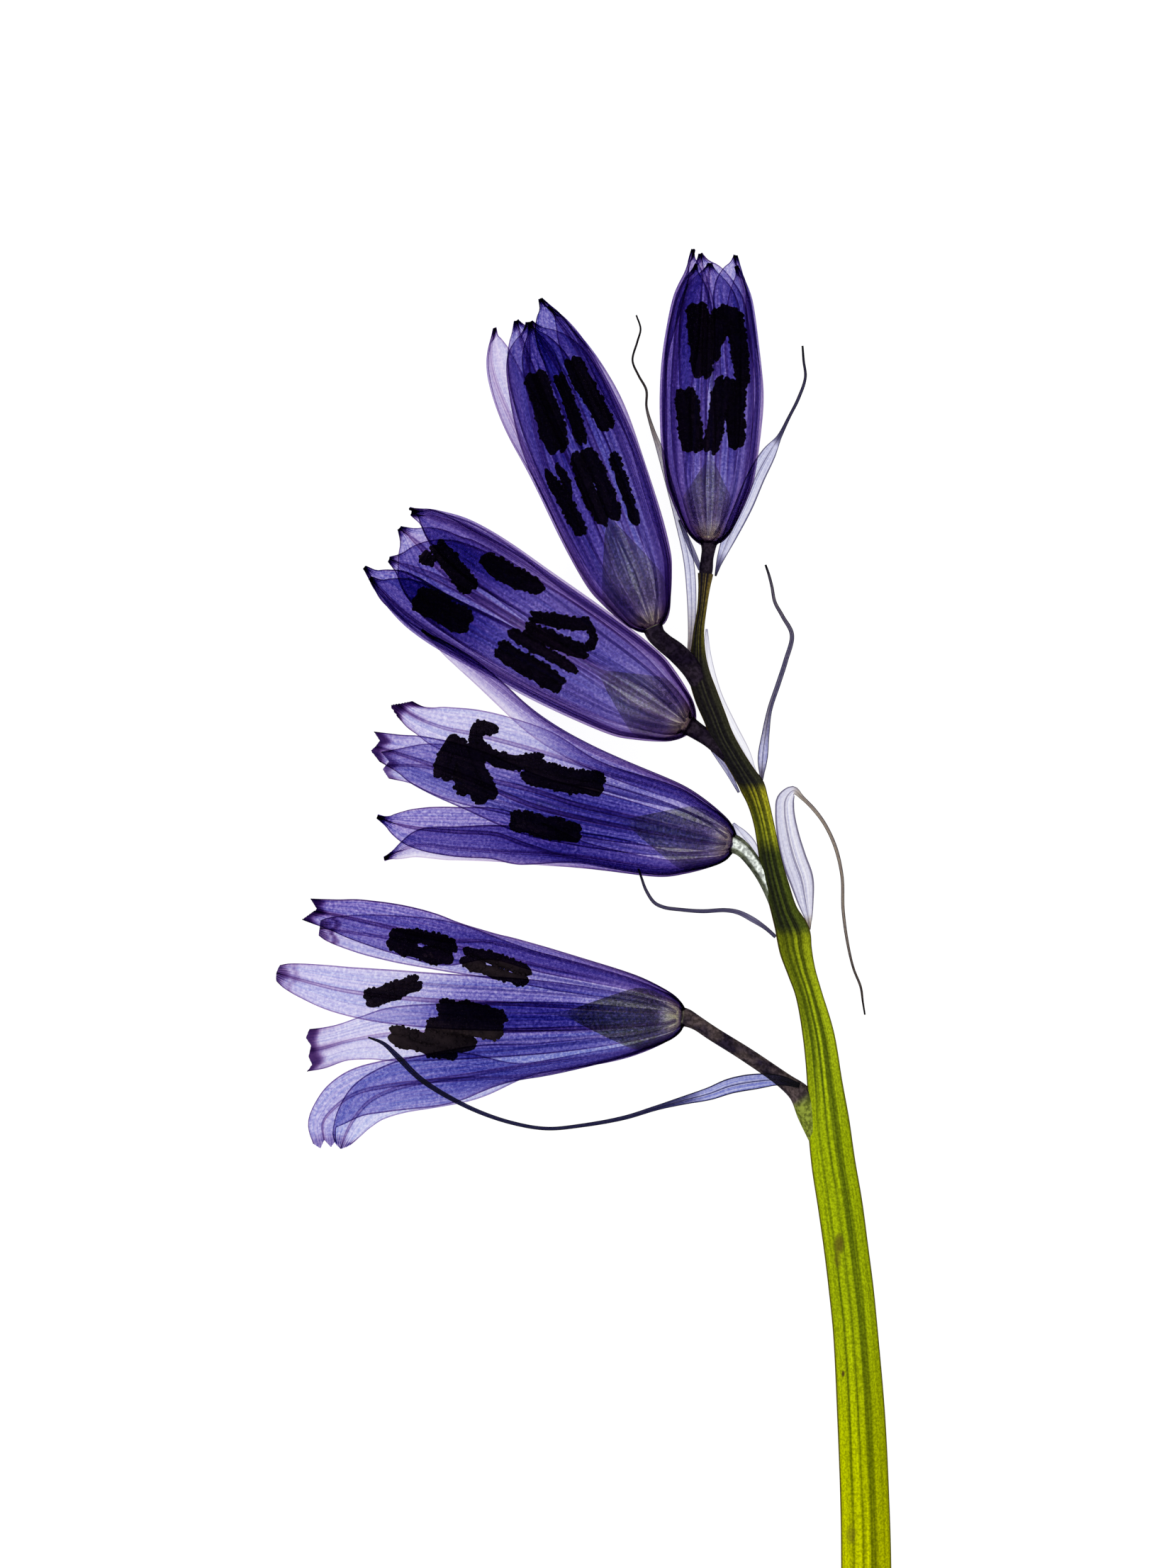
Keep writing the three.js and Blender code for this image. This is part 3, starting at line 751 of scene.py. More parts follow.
@dataclass(frozen=True)
class ThinTissueFinish:
    """A thin plant sheet that light shines through, darker where thick or veined, with painted shade where
    steep.

    Colours are what one plain layer lets through. body is the share that doesn't let light through.
    veins, midrib and margin are how many layers of the dark tint they add, and fold how many the painted
    shade on steep parts adds; grain, streaks and drift are how far the pigment's amount and hue vary.
    """

    name: str
    violet: Row = (0.515, 0.445, 0.73)
    blue: Row = (0.43, 0.48, 0.77)
    dark: Row = (0.41, 0.29, 0.49)
    foot: Row = (0.80, 0.80, 0.68)
    skin: Row = (0.03, 0.022, 0.03)
    body: float = 0.012
    vein_count: float = 15.0
    veins: float = 0.40
    streaks: float = 0.45
    midrib: float = 0.7
    margin: float = 0.8
    margin_width: float = 0.038
    grain: float = 0.95
    fold: float = 0.30
    most_folded: float = 0.85
    drift: float = 0.5
    veins_without_pigment: float = 0.25
    veins_where_steep: float = -1.2
    relief: Relief = Relief(0.55, 0.25, 0.00005)

    def material(self, groups: SharedGroups) -> Material:
        """Builds the material.

        Args:
            groups: the shared shader groups.

        Returns:
            The material.
        """
        material, web, surface = blank_material(self.name)
        stored = {label: web.stored(label)
                  for label in ("pigment", "blue", "dark", "foot", "fold", "steep", "seed")}
        sheet = web.add("ShaderNodeUVMap", uv_map="sheet").outputs[0]
        feeds = {"Sheet": sheet, "Place": web.place(), "Vein Count": self.vein_count,
                 "Seed": stored["seed"], "Margin Width": self.margin_width}
        pattern = groups.veins.use(web, feeds)
        tissue = self.tissue(web, groups, stored, pattern)
        clear = web.add("ShaderNodeBsdfTransparent", {"Color": tissue}).outputs[0]
        height = web.times_plus(pattern["Grain"], 0.3, pattern["Streaks"])
        shaded = [c * 0.6 for c in self.skin]
        skin = web.colours(web.times(pattern["Streaks"], 0.5), opaque(self.skin), opaque(shaded))
        solid = self.relief.shader(web, skin, height)
        web.feed(surface, web.add("ShaderNodeMixShader", {0: self.body, 1: clear, 2: solid}).outputs[0])
        return material

    def tissue(self, web: NodeWeb, groups: SharedGroups, stored: Mapping[str, Any],
               pattern: Mapping[str, Any]) -> Socket:
        """Works out what one face of the sheet lets through; it has two faces, so each does half.

        Args:
            web: the material's nodes.
            groups: the shared shader groups.
            stored: the values that the mesh holds.
            pattern: the veins' outputs.

        Returns:
            The colour that passes.
        """
        grain = web.times_plus(pattern["Grain"], self.grain, 1.0 - self.grain / 2)
        streaks = web.times_plus(pattern["Streaks"], self.streaks, 1.0 - self.streaks / 2)
        amount = web.times(stored["pigment"], web.times(grain, streaks))
        uneven = web.minus(pattern["Streaks"], 0.5)
        hue = web.times_plus(uneven, self.drift, stored["blue"], clamp=True)
        layers = (
            (self.violet, web.times(amount, web.minus(1.0, hue))),
            (self.blue, web.times(amount, hue)),
            (self.dark, self.darkness(web, stored, pattern)),
            (self.foot, stored["foot"]),
        )
        colour = None
        for tint, units in layers:
            feeds = {"Tint": opaque(tint), "Amount": web.times(units, 0.5)}
            passed = groups.tint.use(web, feeds)["Color"]
            colour = passed if colour is None else web.colours(1.0, colour, passed, "MULTIPLY")
        return colour

    def darkness(self, web: NodeWeb, stored: Mapping[str, Any], pattern: Mapping[str, Any]) -> Any:
        """Adds up the dark layers of veins, midrib, margin and dark parts, and the painted shade on steep
        parts.

        Args:
            web: the material's nodes.
            stored: the values that the mesh holds.
            pattern: the veins' outputs.

        Returns:
            The number of dark layers.
        """
        lines = web.times(pattern["Veins"], self.veins)
        lines = web.times_plus(pattern["Midrib"], self.midrib, lines)
        lines = web.times_plus(pattern["Margin"], self.margin, lines)
        lines = web.times(lines, web.plus(stored["pigment"], self.veins_without_pigment))
        kept = web.times_plus(stored["steep"], self.veins_where_steep, 1.0)
        lines = web.times(lines, kept)
        # Painted shade: where the sheet stands steep, the longer way down through it adds dark layers.
        dense = web.math("MINIMUM", stored["pigment"], self.most_folded)
        painted_fold_shade = web.times(web.minus(stored["fold"], 1.0), dense)
        lines = web.times_plus(painted_fold_shade, web.plus(stored["steep"], self.fold), lines)
        return web.plus(lines, stored["dark"])


@dataclass(frozen=True)
class StripedStemFinish:
    """The stem's skin: light stripes between dark ones, in zones along the stem.

    light and dark give their colour at heights in the drawing, stripes how dark the skin is from side to
    side, and marks the x, y, size and strength of single dark spots.
    """

    name: str = "striped stem"
    zone_from: float = -30.0
    zone_to: float = 24.0
    light: tuple[tuple[float, Row], ...] = (
        (-30.0, (0.40, 0.41, 0.0)), (-22.0, (0.325, 0.365, 0.0)), (-15.0, (0.27, 0.335, 0.002)),
        (-7.0, (0.26, 0.33, 0.002)), (0.0, (0.33, 0.40, 0.008)), (2.6, (0.26, 0.30, 0.008)),
        (3.0, (0.06, 0.08, 0.009)), (6.6, (0.050, 0.065, 0.008)), (7.4, (0.30, 0.31, 0.014)),
        (9.4, (0.31, 0.29, 0.014)), (9.8, (0.024, 0.025, 0.013)), (15.5, (0.026, 0.025, 0.015)),
        (16.5, (0.07, 0.065, 0.010)), (19.0, (0.14, 0.10, 0.02)), (20.5, (0.012, 0.009, 0.016)),
    )
    dark: tuple[tuple[float, Row], ...] = (
        (-30.0, (0.10, 0.11, 0.0)), (-15.0, (0.062, 0.085, 0.002)), (-3.0, (0.050, 0.07, 0.003)),
        (2.6, (0.040, 0.048, 0.003)), (3.0, (0.008, 0.009, 0.005)), (6.6, (0.007, 0.008, 0.005)),
        (7.4, (0.030, 0.036, 0.004)), (9.4, (0.022, 0.020, 0.004)), (9.8, (0.005, 0.0045, 0.006)),
        (16.5, (0.006, 0.005, 0.006)), (20.5, (0.005, 0.004, 0.010)),
    )
    # edge is the brown of the single dark spots, and of the painted shade along the stem's two sides as
    # seen from above.
    edge: Row = (0.055, 0.035, 0.006)
    stripes: Rows = (
        (0.0, 0.35), (0.06, 0.05), (0.20, 0.15), (0.25, 0.8), (0.29, 0.2), (0.38, 0.0), (0.44, 0.8),
        (0.48, 0.3), (0.53, 0.0), (0.59, 0.75), (0.66, 0.85), (0.73, 0.6), (0.79, 0.1), (0.95, 0.15),
        (1.0, 0.5),
    )
    marks: Rows = (
        (6.1, -11.8, 0.26, 0.8), (6.02, -12.6, 0.2, 0.5), (6.7, -25.6, 0.3, 0.5), (6.3, -17.9, 0.08, 1.0),
    )
    mark_squeeze: float = 0.45
    relief: Relief = Relief(0.6, 0.3, 0.0001)

    def material(self, groups: SharedGroups) -> Material:
        """Builds the material.

        Args:
            groups: the shared shader groups.

        Returns:
            The material.
        """
        material, web, surface = blank_material(self.name)
        place = web.place()
        height = web.split(place)[1]
        drawn = web.minus(web.times(height, 1.0 / MM), ORIGIN[1])
        right, rise, _ = web.split(web.stored("ring", "Vector"))
        fine = web.joined(web.times(right, 7.0), web.times(rise, 7.0), web.times(height, 90.0))
        wisps = web.noise(fine, 1.0, 3.0, 0.6)
        bands = self.bands(web, place, right, drawn, wisps)
        mottle = groups.mottle.use(web, {"Place": place, "Blotch Scale": 700.0, "Speck Scale": 9000.0})
        span = self.zone_to - self.zone_from
        zone = web.math("DIVIDE", web.minus(drawn, self.zone_from), span, clamp=True)
        tones = [web.stops(zone, [((y - self.zone_from) / span, tone) for y, tone in zones])
                 for zones in (self.light, self.dark)]
        colour = web.colours(bands, *tones)
        colour = web.scaled(colour, web.ramp(mottle["Specks"], 0.0, 1.0, 0.70, 1.2))
        for mark in self.marks:
            share = self.marked(web, place, mark, mottle["Blotches"])
            colour = web.colours(share, colour, opaque(self.edge))
        # Painted shade: the stem's two sides as seen from above turn to the edge brown, where light takes
        # the longest way through the stem.
        painted_edge_shade = web.ramp(web.size(right), 0.94, 0.985, 0.0, 0.85)
        colour = web.colours(painted_edge_shade, colour, opaque(self.edge))
        web.feed(surface, self.relief.shader(web, colour, wisps))
        return material

    def bands(self, web: NodeWeb, place: Any, right: Any, drawn: Any, wisps: Any) -> Socket:
        """Works out how dark the stripes are, with their sway, their wisps and the shaded left side.

        Args:
            web: the material's nodes.
            place: the place on the stem.
            right: how far to the right of the middle, from -1 to 1.
            drawn: the height in the drawing.
            wisps: fine noise that runs along the stem.

        Returns:
            The share of the dark colour.
        """
        sway = web.times_plus(web.minus(web.noise(place, 160.0), 0.5), 0.08, 0.5)
        across = web.times_plus(right, 0.5, sway)
        bands = web.stops(across, [(x, (v, v, v)) for x, v in self.stripes])
        bands = web.plus(bands, web.times(web.minus(wisps, 0.43), 1.6))
        shaded = web.times(web.ramp(across, 0.66, 0.30), web.ramp(drawn, -7.0, 0.0, 0.0, 0.6))
        return web.math("ADD", bands, shaded, clamp=True)

    def marked(self, web: NodeWeb, place: Any, mark: Row, blotches: Any) -> Socket:
        """Works out where one dark spot shows.

        Args:
            web: the material's nodes.
            place: the place on the stem.
            mark: the spot's x, y, size and strength.
            blotches: noise that makes its outline uneven.

        Returns:
            The spot's share.
        """
        x, y, size, strength = mark
        spot = web.vector("SUBTRACT", place, tuple(to_frame(np.array([x, y, 0.0]))))
        reach = size * MM
        spot = web.vector("MULTIPLY", spot, (1.0 / reach, self.mark_squeeze / reach, 0.0))
        ragged = web.times(blotches, 0.5)
        spread = web.plus(web.vector("LENGTH", spot, output="Value"), ragged)
        return web.ramp(spread, 1.3, 0.4, 0.0, strength)


@dataclass(frozen=True)
class MattFinish:
    """A dull skin in two tones."""

    name: str
    first: Row
    second: Row
    relief: Relief = Relief(0.7, 0.4, 0.00008)
    blotch_scale: float = 1100.0

    def material(self, groups: SharedGroups) -> Material:
        """Builds the material.

        Args:
            groups: the shared shader groups.

        Returns:
            The material.
        """
        material, web, surface = blank_material(self.name)
        feeds = {"Place": web.place(), "Blotch Scale": self.blotch_scale, "Speck Scale": 6000.0}
        mottle = groups.mottle.use(web, feeds)
        colour = web.colours(mottle["Blotches"], opaque(self.first), opaque(self.second))
        colour = self.marked(web, colour, mottle["Specks"])
        web.feed(surface, self.relief.shader(web, colour, mottle["Specks"]))
        return material

    def marked(self, web: NodeWeb, colour: Any, specks: Any) -> Any:
        """Gives the skin's colour with its marks, of which the plain skin has none."""
        return colour


@dataclass(frozen=True)
class StalkFinish(MattFinish):
    """A flower stalk's skin, pale at the receptacle; it may have a green foot or a pale stripe."""

    crown: Row = (0.10, 0.10, 0.06)
    crown_from: float = 0.985
    foot: Row = (0.12, 0.145, 0.02)
    foot_share: float = 0.0
    stripe: Row = (0.42, 0.45, 0.42)
    stripe_share: float = 0.0

    def marked(self, web: NodeWeb, colour: Any, specks: Any) -> Any:
        """Adds the stripe, the foot, the specks and the crown.

        Args:
            web: the material's nodes.
            colour: the skin's colour.
            specks: the fine specks.

        Returns:
            The colour with its marks.
        """
        along = web.stored("along")
        side = web.minus(web.split(web.stored("ring", "Vector"))[0], 0.1)
        line = web.ramp(web.size(side), 0.62, 0.3, 0.0, self.stripe_share)
        colour = web.colours(line, colour, opaque(self.stripe))
        colour = web.colours(web.ramp(along, 0.24, 0.17, 0.0, self.foot_share), colour, opaque(self.foot))
        colour = web.scaled(colour, web.ramp(specks, 0.0, 1.0, 0.55, 1.5))
        return web.colours(web.ramp(along, self.crown_from, 1.0), colour, opaque(self.crown))


class StalkSkin(Enum):
    """The skins that a flower's stalk may have."""

    DARK = StalkFinish("stalk", (0.005, 0.003, 0.008), (0.013, 0.009, 0.015))
    BROWN = StalkFinish("brown stalk", (0.010, 0.007, 0.014), (0.050, 0.036, 0.036), foot_share=1.0)
    GREEN = StalkFinish("green stalk", (0.04, 0.045, 0.030), (0.08, 0.09, 0.06), stripe_share=1.0)


PETAL_FINISH = ThinTissueFinish("petal")
BRACT_FINISH = ThinTissueFinish(
    "bract", violet=(0.81, 0.80, 0.87), blue=(0.62, 0.64, 0.84), dark=(0.36, 0.34, 0.42),
    foot=(0.80, 0.70, 0.42), skin=(0.35, 0.34, 0.4), vein_count=5.0, veins=0.35, streaks=0.9,
    margin=0.9, margin_width=0.09, grain=0.6, fold=0.25)
OVARY_FINISH = ThinTissueFinish(
    "ovary", violet=(0.57, 0.59, 0.44), blue=(0.52, 0.56, 0.52), dark=(0.45, 0.42, 0.42),
    foot=(0.98, 0.96, 0.66), skin=(0.12, 0.12, 0.11), body=0.03, vein_count=5.0, veins=0.15,
    streaks=0.6, midrib=0.0, margin=0.0, grain=1.2, fold=0.1)
FILAMENT_FINISH = ThinTissueFinish(
    "filament", violet=(0.70, 0.68, 0.82), blue=(0.70, 0.68, 0.82), dark=(0.5, 0.45, 0.6),
    foot=(0.8, 0.8, 0.6), skin=(0.3, 0.28, 0.5), midrib=0.0, margin=0.0, fold=0.1)
ANTHER_FINISH = MattFinish(
    "anther", (0.010, 0.007, 0.008), (0.016, 0.011, 0.0115), Relief(1.0, 0.4, 0.00008), blotch_scale=1500.0)


@dataclass
class Dressing:
    """All finishes of the plant, ready to use."""

    groups: SharedGroups = field(default_factory=SharedGroups)

    def __post_init__(self) -> None:
        """Builds the materials."""
        self.petal, self.bract, self.ovary, self.filament, self.anther, self.stem = (
            finish.material(self.groups) for finish in (
                PETAL_FINISH, BRACT_FINISH, OVARY_FINISH, FILAMENT_FINISH, ANTHER_FINISH,
                StripedStemFinish()))
        self.stalks = {skin: skin.value.material(self.groups) for skin in StalkSkin}


@dataclass
class Workshop:
    """The growth trees and the finishes that every part of the plant is made with."""

    shell: ShellTree = field(default_factory=ShellTree)
    bar: BarTree = field(default_factory=BarTree)
    grains: GrainTree = field(default_factory=GrainTree)
    dressing: Dressing = field(default_factory=Dressing)


class Ring(Enum):
    """A bell's two rings of tepals: where the midline starts, and how much nearer the axis it runs."""

    OUTER = ((0.0, 0.36), 0.0)
    INNER = ((0.08, 0.32), 0.12)


# Every outline is the same up to its widest place.
NEAR_OUTLINE = ((0.0, 0.24), (0.06, 0.42), (0.15, 0.62), (0.3, 0.88), (0.45, 1.0))


class Outline(Enum):
    """How wide a tepal is at shares of its length, as part of its half width."""

    POINTED = (*NEAR_OUTLINE, (0.72, 1.0), (0.83, 0.92), (0.90, 0.74), (0.95, 0.42), (0.972, 0.20),
               (1.0, 0.05))
    BLUNT = (*NEAR_OUTLINE, (0.72, 1.0), (0.85, 0.86), (0.93, 0.66), (0.98, 0.46), (1.0, 0.30))
    HOODED = (*NEAR_OUTLINE, (0.75, 1.0), (0.87, 0.84), (0.94, 0.60), (1.0, 0.44))
    FLARED = (*NEAR_OUTLINE, (0.76, 1.0), (0.86, 0.78), (0.92, 0.66), (0.97, 0.72), (1.0, 0.74))

    def widths(self, share: np.ndarray) -> np.ndarray:
        """Gives the outline's width at shares of the length, along a smooth line."""
        fine = SmoothLine(self.value, places=2).fine()
        return np.interp(share, fine[:, 0], np.maximum(fine[:, 1], 0.03))


class Facing(Enum):
    """Which side of a tepal's far part lies up; a plain one stands round the bell to its tip."""

    ROUND = 0
    OUTSIDE_UP = -1
    INSIDE_UP = 1


@dataclass(frozen=True)
class Bell:
    """Where a flower's bell stands, the way it points, and how far it lies pressed flat.

    waist is the place and radius of its widest ring. swell widens its shoulder. pale_base is how pale the
    spot over the receptacle is.
    """

    base: Row
    heading: float
    pitch: float
    flat: float
    waist: Row
    swell: float = 1.0
    pale_base: float = 0.6

    def placed(self, points: np.ndarray) -> np.ndarray:
        """Moves points out of the bell's own frame.

        Args:
            points: place along the bell, place to its left and height, in millimetres.

        Returns:
            Places in the frame, in metres.
        """
        turn, lift = math.radians(self.heading), math.radians(self.pitch)
        s, t, z = points[..., 0], points[..., 1], points[..., 2] * self.flat
        level = s * math.cos(lift) - z * math.sin(lift)
        height = s * math.sin(lift) + z * math.cos(lift)
        x = level * math.cos(turn) - t * math.sin(turn)
        y = level * math.sin(turn) + t * math.cos(turn)
        return to_frame(np.stack([x, y, height], axis=-1) + np.array(self.base))


@dataclass(frozen=True)
class Tepal:
    """One tepal.

    angle is where it stands round the bell. far holds its midline past the waist: place along the bell,
    radius, and degrees off the angle. end moves the tip's points along, in millimetres, at places from edge
    to edge (-1 to 1). pigment is how dense its far part is and deep how dense the part round the bell is;
    lean makes the far part denser towards one edge. fade and turn are shares of the length: where deep
    gives way to pigment, and where the far part turns level. band is a dark strip before the tip.
    The pale spot over the receptacle fades out round the bell's side and between places along the bell.
    """

    PALE_SIDES = (0.25, 0.8)
    PALE_STARTS = (0.15, 0.4)
    PALE_ENDS = (0.8, 1.6)
    EDGE_WAVES = (2.6, 2.2)
    MIDRIB_WIDTH = 0.08
    TIP_STARTS = (0.968, 0.992)
    BAND_PLACE = 0.962
    BAND_WIDTH = 0.006

    angle: float
    far: Rows
    half_width: float
    waist_radius: float | None = None
    outline: Outline = Outline.POINTED
    pigment: float = 0.9
    deep: float = 0.85
    fade: Row = (0.45, 0.78)
    blue: float = 0.3
    facing: Facing = Facing.ROUND
    turn: Row = (0.4, 0.75)
    end: Rows = ()
    band: float = 0.0
    hug: float = 1.0
    ruffle: float = 0.10
    tip_dark: float = 0.5
    base_dark: float = 0.3
    lean: float = 0.0
    cells_across: int = 36
    cells_along: int = 120
    thickness: float = 0.11
    shoulder: Rows = ((0.16, 0.60), (0.5, 0.94), (1.0, 1.24), (2.0, 1.7), (3.0, 2.03))
    least_radius: float = 0.22
    midrib_height: float = 0.05
    ribs: float = 11.0
    rib_height: float = 0.012

    def build(self, shop: Workshop, node: str, bell: Bell, ring: Ring) -> None:
        """Builds and shows the tepal.

        Args:
            shop: the trees and finishes.
            node: the node that it replaces.
            bell: where the flower's bell is.
            ring: the ring that the tepal belongs to.
        """
        sheet = self.sheet(node, bell, ring)
        mesh = shop.shell.grow(sheet.mesh(node), Ribs=self.ribs, Rib_Height=self.rib_height * MM,
                               Material=shop.dressing.petal)
        show(f"{node}_petal", mesh, node)

    def sheet(self, name: str, bell: Bell, ring: Ring) -> Sheet:
        """Shapes the tepal's middle surface.

        Args:
            name: the tepal's name, which sets its small unevenness.
            bell: where the flower's bell is.
            ring: the ring that the tepal belongs to.

        Returns:
            The open sheet.
        """
        rng = np.random.default_rng(name_seed(name))
        start, drop = ring.value
        near = [start, *((s, r * bell.swell) for s, r in self.shoulder)]
        belt = (bell.waist[0], self.waist_radius or bell.waist[1], 0.0)
        rows = [*((s, r, 0.0) for s, r in near), belt, *self.far]
        line = SmoothLine(rows, places=2).evenly(self.cells_along + 1)
        share = np.linspace(0.0, 1.0, self.cells_along + 1)
        radius = np.maximum(line[:, 1] - drop * ease(line[:, 0], 0.1, 2.0), self.least_radius)
        middle, heading, width_way, outward_way = self.midline(line, radius, share)
        across = np.linspace(-1.0, 1.0, self.cells_across + 1)
        x = across[None, :] * (self.half_width * self.outline.widths(share))[:, None]
        bend = ((1.0 + (self.hug - 1.0) * ease(share, 0.5, 0.9)) / radius)[:, None]
        bend = np.where(np.abs(bend) < 1e-3, 1e-3, bend)
        sideways = np.sin(bend * x) / bend
        outward = -(1.0 - np.cos(bend * x)) / bend + self.unevenness(rng, share, across)
        points = middle[:, None, :] + sideways[..., None] * width_way[:, None, :]
        points = points + outward[..., None] * outward_way[:, None, :]
        if self.end:
            shift = np.interp(across, *np.array(self.end).T)[None, :] * ease(share, 0.84, 1.0)[:, None]
            points = points + shift[..., None] * heading[:, None, :]
        return Sheet(bell.placed(points), self.values(rng, share, across, points, bell.pale_base))

    def midline(self, line: np.ndarray, radius: np.ndarray, share: np.ndarray) -> tuple[np.ndarray, ...]:
        """Gives the tepal's middle line and, at each step of it, three ways square to each other.

        Args:
            line: place, radius and swing at each step.
            radius: the radius to use.
            share: each step's share of the length.

        Returns:
            The middle points, the heading, the way across the tepal and the way out of the bell.
        """
        angle = np.radians(self.angle + line[:, 2])
        middle = np.column_stack([line[:, 0], radius * np.cos(angle), radius * np.sin(angle)])
        heading = unit(np.gradient(middle, axis=0))
        way = np.column_stack([np.zeros_like(angle), -np.sin(angle), np.cos(angle)])
        if self.facing is not Facing.ROUND:
            turned = ease(share, *self.turn)[:, None]
            level = unit(np.cross(np.array([0.0, 0.0, 1.0]), heading)) * self.facing.value
            way = way * (1.0 - turned) + level * turned
        way = unit(way - heading * np.sum(way * heading, axis=1)[:, None])
        return middle, heading, way, np.cross(way, heading)

    def unevenness(self, rng: np.random.Generator, share: np.ndarray, across: np.ndarray) -> np.ndarray:
        """Gives how far the sheet stands off its smooth shape: waved edges and a raised midrib.

        Args:
            rng: the tepal's random numbers.
            share: each step's share of the length.
            across: each point's place from edge to edge, from -1 to 1.

        Returns:
            A height to each point, in millimetres.
        """
        phase = rng.uniform(0.0, math.tau, 2)
        wave = 0.0
        for count, start, edge in zip(self.EDGE_WAVES, phase, (-across, across)):
            wave = wave + np.sin(math.tau * count * share + start)[:, None] * np.clip(edge, 0, 1) ** 2
        rib = np.exp(-((across / self.MIDRIB_WIDTH) ** 2))[None, :] * ease(share, 0.1, 0.4)[:, None]
        return self.ruffle * wave * ease(share, 0.15, 0.7)[:, None] + self.midrib_height * rib

    def values(self, rng: np.random.Generator, share: np.ndarray, across: np.ndarray,
               points: np.ndarray, pale_base: float) -> dict[str, Any]:
        """Gives the numbers that the finish reads: thickness, pigment, tints and dark parts.

        Args:
            rng: the tepal's random numbers.
            share: each step's share of the length.
            across: each point's place from edge to edge, from -1 to 1.
            points: the sheet's points in the bell's own frame.
            pale_base: how pale the spot over the receptacle is.

        Returns:
            The values by name.
        """
        place = points[..., 0]
        aside = np.abs(points[..., 1]) / np.hypot(points[..., 1], points[..., 2])
        pale = (1.0 - ease(aside, *self.PALE_SIDES)) * ease(place, *self.PALE_STARTS)
        pale = pale * (1.0 - ease(place, *self.PALE_ENDS)) * pale_base
        thin = self.thickness * (1.0 - 0.5 * np.abs(across)[None, :]**3)
        thin = thin * (0.6 + 0.4 * ease(share, 0, 0.2))[:, None]
        dark = self.tip(rng, share, across)
        return {
            "thick": thin * MM,
            "pigment": self.density(share, across, aside, pale_base) * (1.0 - 0.8 * pale),
            "blue": self.blue + 0.25 * (rng.random() - 0.5),
            "dark": dark + self.base_dark * (1.0 - ease(share, 0.05, 0.24))[:, None] * (1.0 - pale),
            # steep strengthens the painted shade on the bell's steep base, and thins the veins there.
            "steep": 0.45 * (1.0 - ease(share, 0.15, 0.42))[:, None] * (1.0 - 0.7 * pale),
            "foot": 0.7 * (1.0 - ease(place, 0.4, 1.3)),
            "seed": rng.uniform(0.0, 50.0),
        }

    def density(self, share: np.ndarray, across: np.ndarray, aside: np.ndarray,
                pale_base: float) -> np.ndarray:
        """Gives how dense the pigment is, thinner at the base and towards the edges.

        Args:
            share: each step's share of the length.
            across: each point's place from edge to edge, from -1 to 1.
            aside: how far round the bell's side each point is, from 0 to 1.
            pale_base: how pale the spot over the receptacle is.

        Returns:
            A number of layers to each point.
        """
        dense = (self.deep + (self.pigment - self.deep) * ease(share, *self.fade))[:, None]
        near = 1.0 - ease(share, 0.08, 0.38)[:, None]
        dense = dense * (1.0 - near * (0.27 + 0.33 * pale_base - 0.36 * aside**2))
        dense = dense * (1.0 + self.lean * across[None, :] * ease(share, 0.35, 0.6)[:, None])
        edge = np.abs(across)[None, :]
        inner = 1.0 - ease(share, 0.5, 0.85)[:, None]
        return dense * (1.0 - 0.12 * edge**2 + (0.22 - 0.45 * edge**2) * inner)

    def tip(self, rng: np.random.Generator, share: np.ndarray, across: np.ndarray) -> np.ndarray:
        """Gives how dark the tip and the strip before it are.

        Args:
            rng: the tepal's random numbers.
            share: each step's share of the length.
            across: each point's place from edge to edge, from -1 to 1.

        Returns:
            A number of dark layers to each point.
        """
        waves = np.sin(across * rng.uniform(4.0, 7.0) + rng.uniform(0.0, 6.0))
        ragged = share[:, None] + 0.008 * waves[None, :]
        tip = self.tip_dark * 2.2 * ease(ragged, *self.TIP_STARTS)
        gather = np.exp(-((across / 0.16) ** 2))[None, :] + np.abs(across)[None, :]**6
        tip = tip + self.tip_dark * 0.8 * ease(share, 0.88, 0.985)[:, None] * gather
        return tip + self.band * np.exp(-(((ragged - self.BAND_PLACE) / self.BAND_WIDTH) ** 2))


@dataclass(frozen=True)
class Anther:
    """One anther: its line in the bell's own place and side, the face it lies against, and its width.

    gape opens its two lobes in the middle. lift is how near the tepals it lies, and rough how uneven it is.
    """

    LOBE_SHARE = 0.29
    LEAST_RADIUS = 0.04

    line: Rows
    face: int
    width: float = 1.0
    gape: float = 0.0
    lobes: int = 2
    lift: float = 0.56
    rough: float = 0.24
    steps: int = 30
    knots: int = 9
    sides: int = 12
    ridges: float = 3.0
    ridge_height: float = 0.03

    def lobe_lines(self, reach: Callable[[float], float]) -> list[np.ndarray]:
        """Gives the middle line of each lobe.

        Args:
            reach: gives how far from the axis an anther fits at a place along the bell.

        Returns:
            Rows of place, side, height and radius for each lobe.
        """
        path = SmoothLine(self.line, places=2).evenly(self.steps)
        share = np.linspace(0.0, 1.0, self.steps)
        heading = unit(np.gradient(path, axis=0))
        side = np.stack([-heading[:, 1], heading[:, 0]], axis=1)
        thick = self.width / 2 if self.lobes == 1 else self.width * self.LOBE_SHARE
        body = np.sqrt(np.clip(1.0 - (2 * share - 1) ** 8, 0.0, 1.0))
        rng = np.random.default_rng(name_seed(repr(self.line)))
        lines = []
        for sign in ((0.0,) if self.lobes == 1 else (-1.0, 1.0)):
            shift = sign * (self.width / 2 - thick + self.gape * np.sin(math.pi * share))
            flat = path + side * shift[:, None]
            room = np.array([reach(s) for s in flat[:, 0]])
            over = np.clip(np.abs(flat[:, 1]) - room * 0.97, 0.0, None)
            t = flat[:, 1] - np.sign(flat[:, 1]) * over
            height = self.face * self.lift * np.sqrt(np.maximum(room**2 - t**2, 0.02))
            knots = 1.0 + rng.uniform(-self.rough, self.rough, self.knots)
            uneven = np.interp(share, np.linspace(0, 1, self.knots), knots)
            radius = np.maximum(thick * body * uneven, self.LEAST_RADIUS)
            lines.append(np.column_stack([flat[:, 0], t, height, radius]))
        return lines


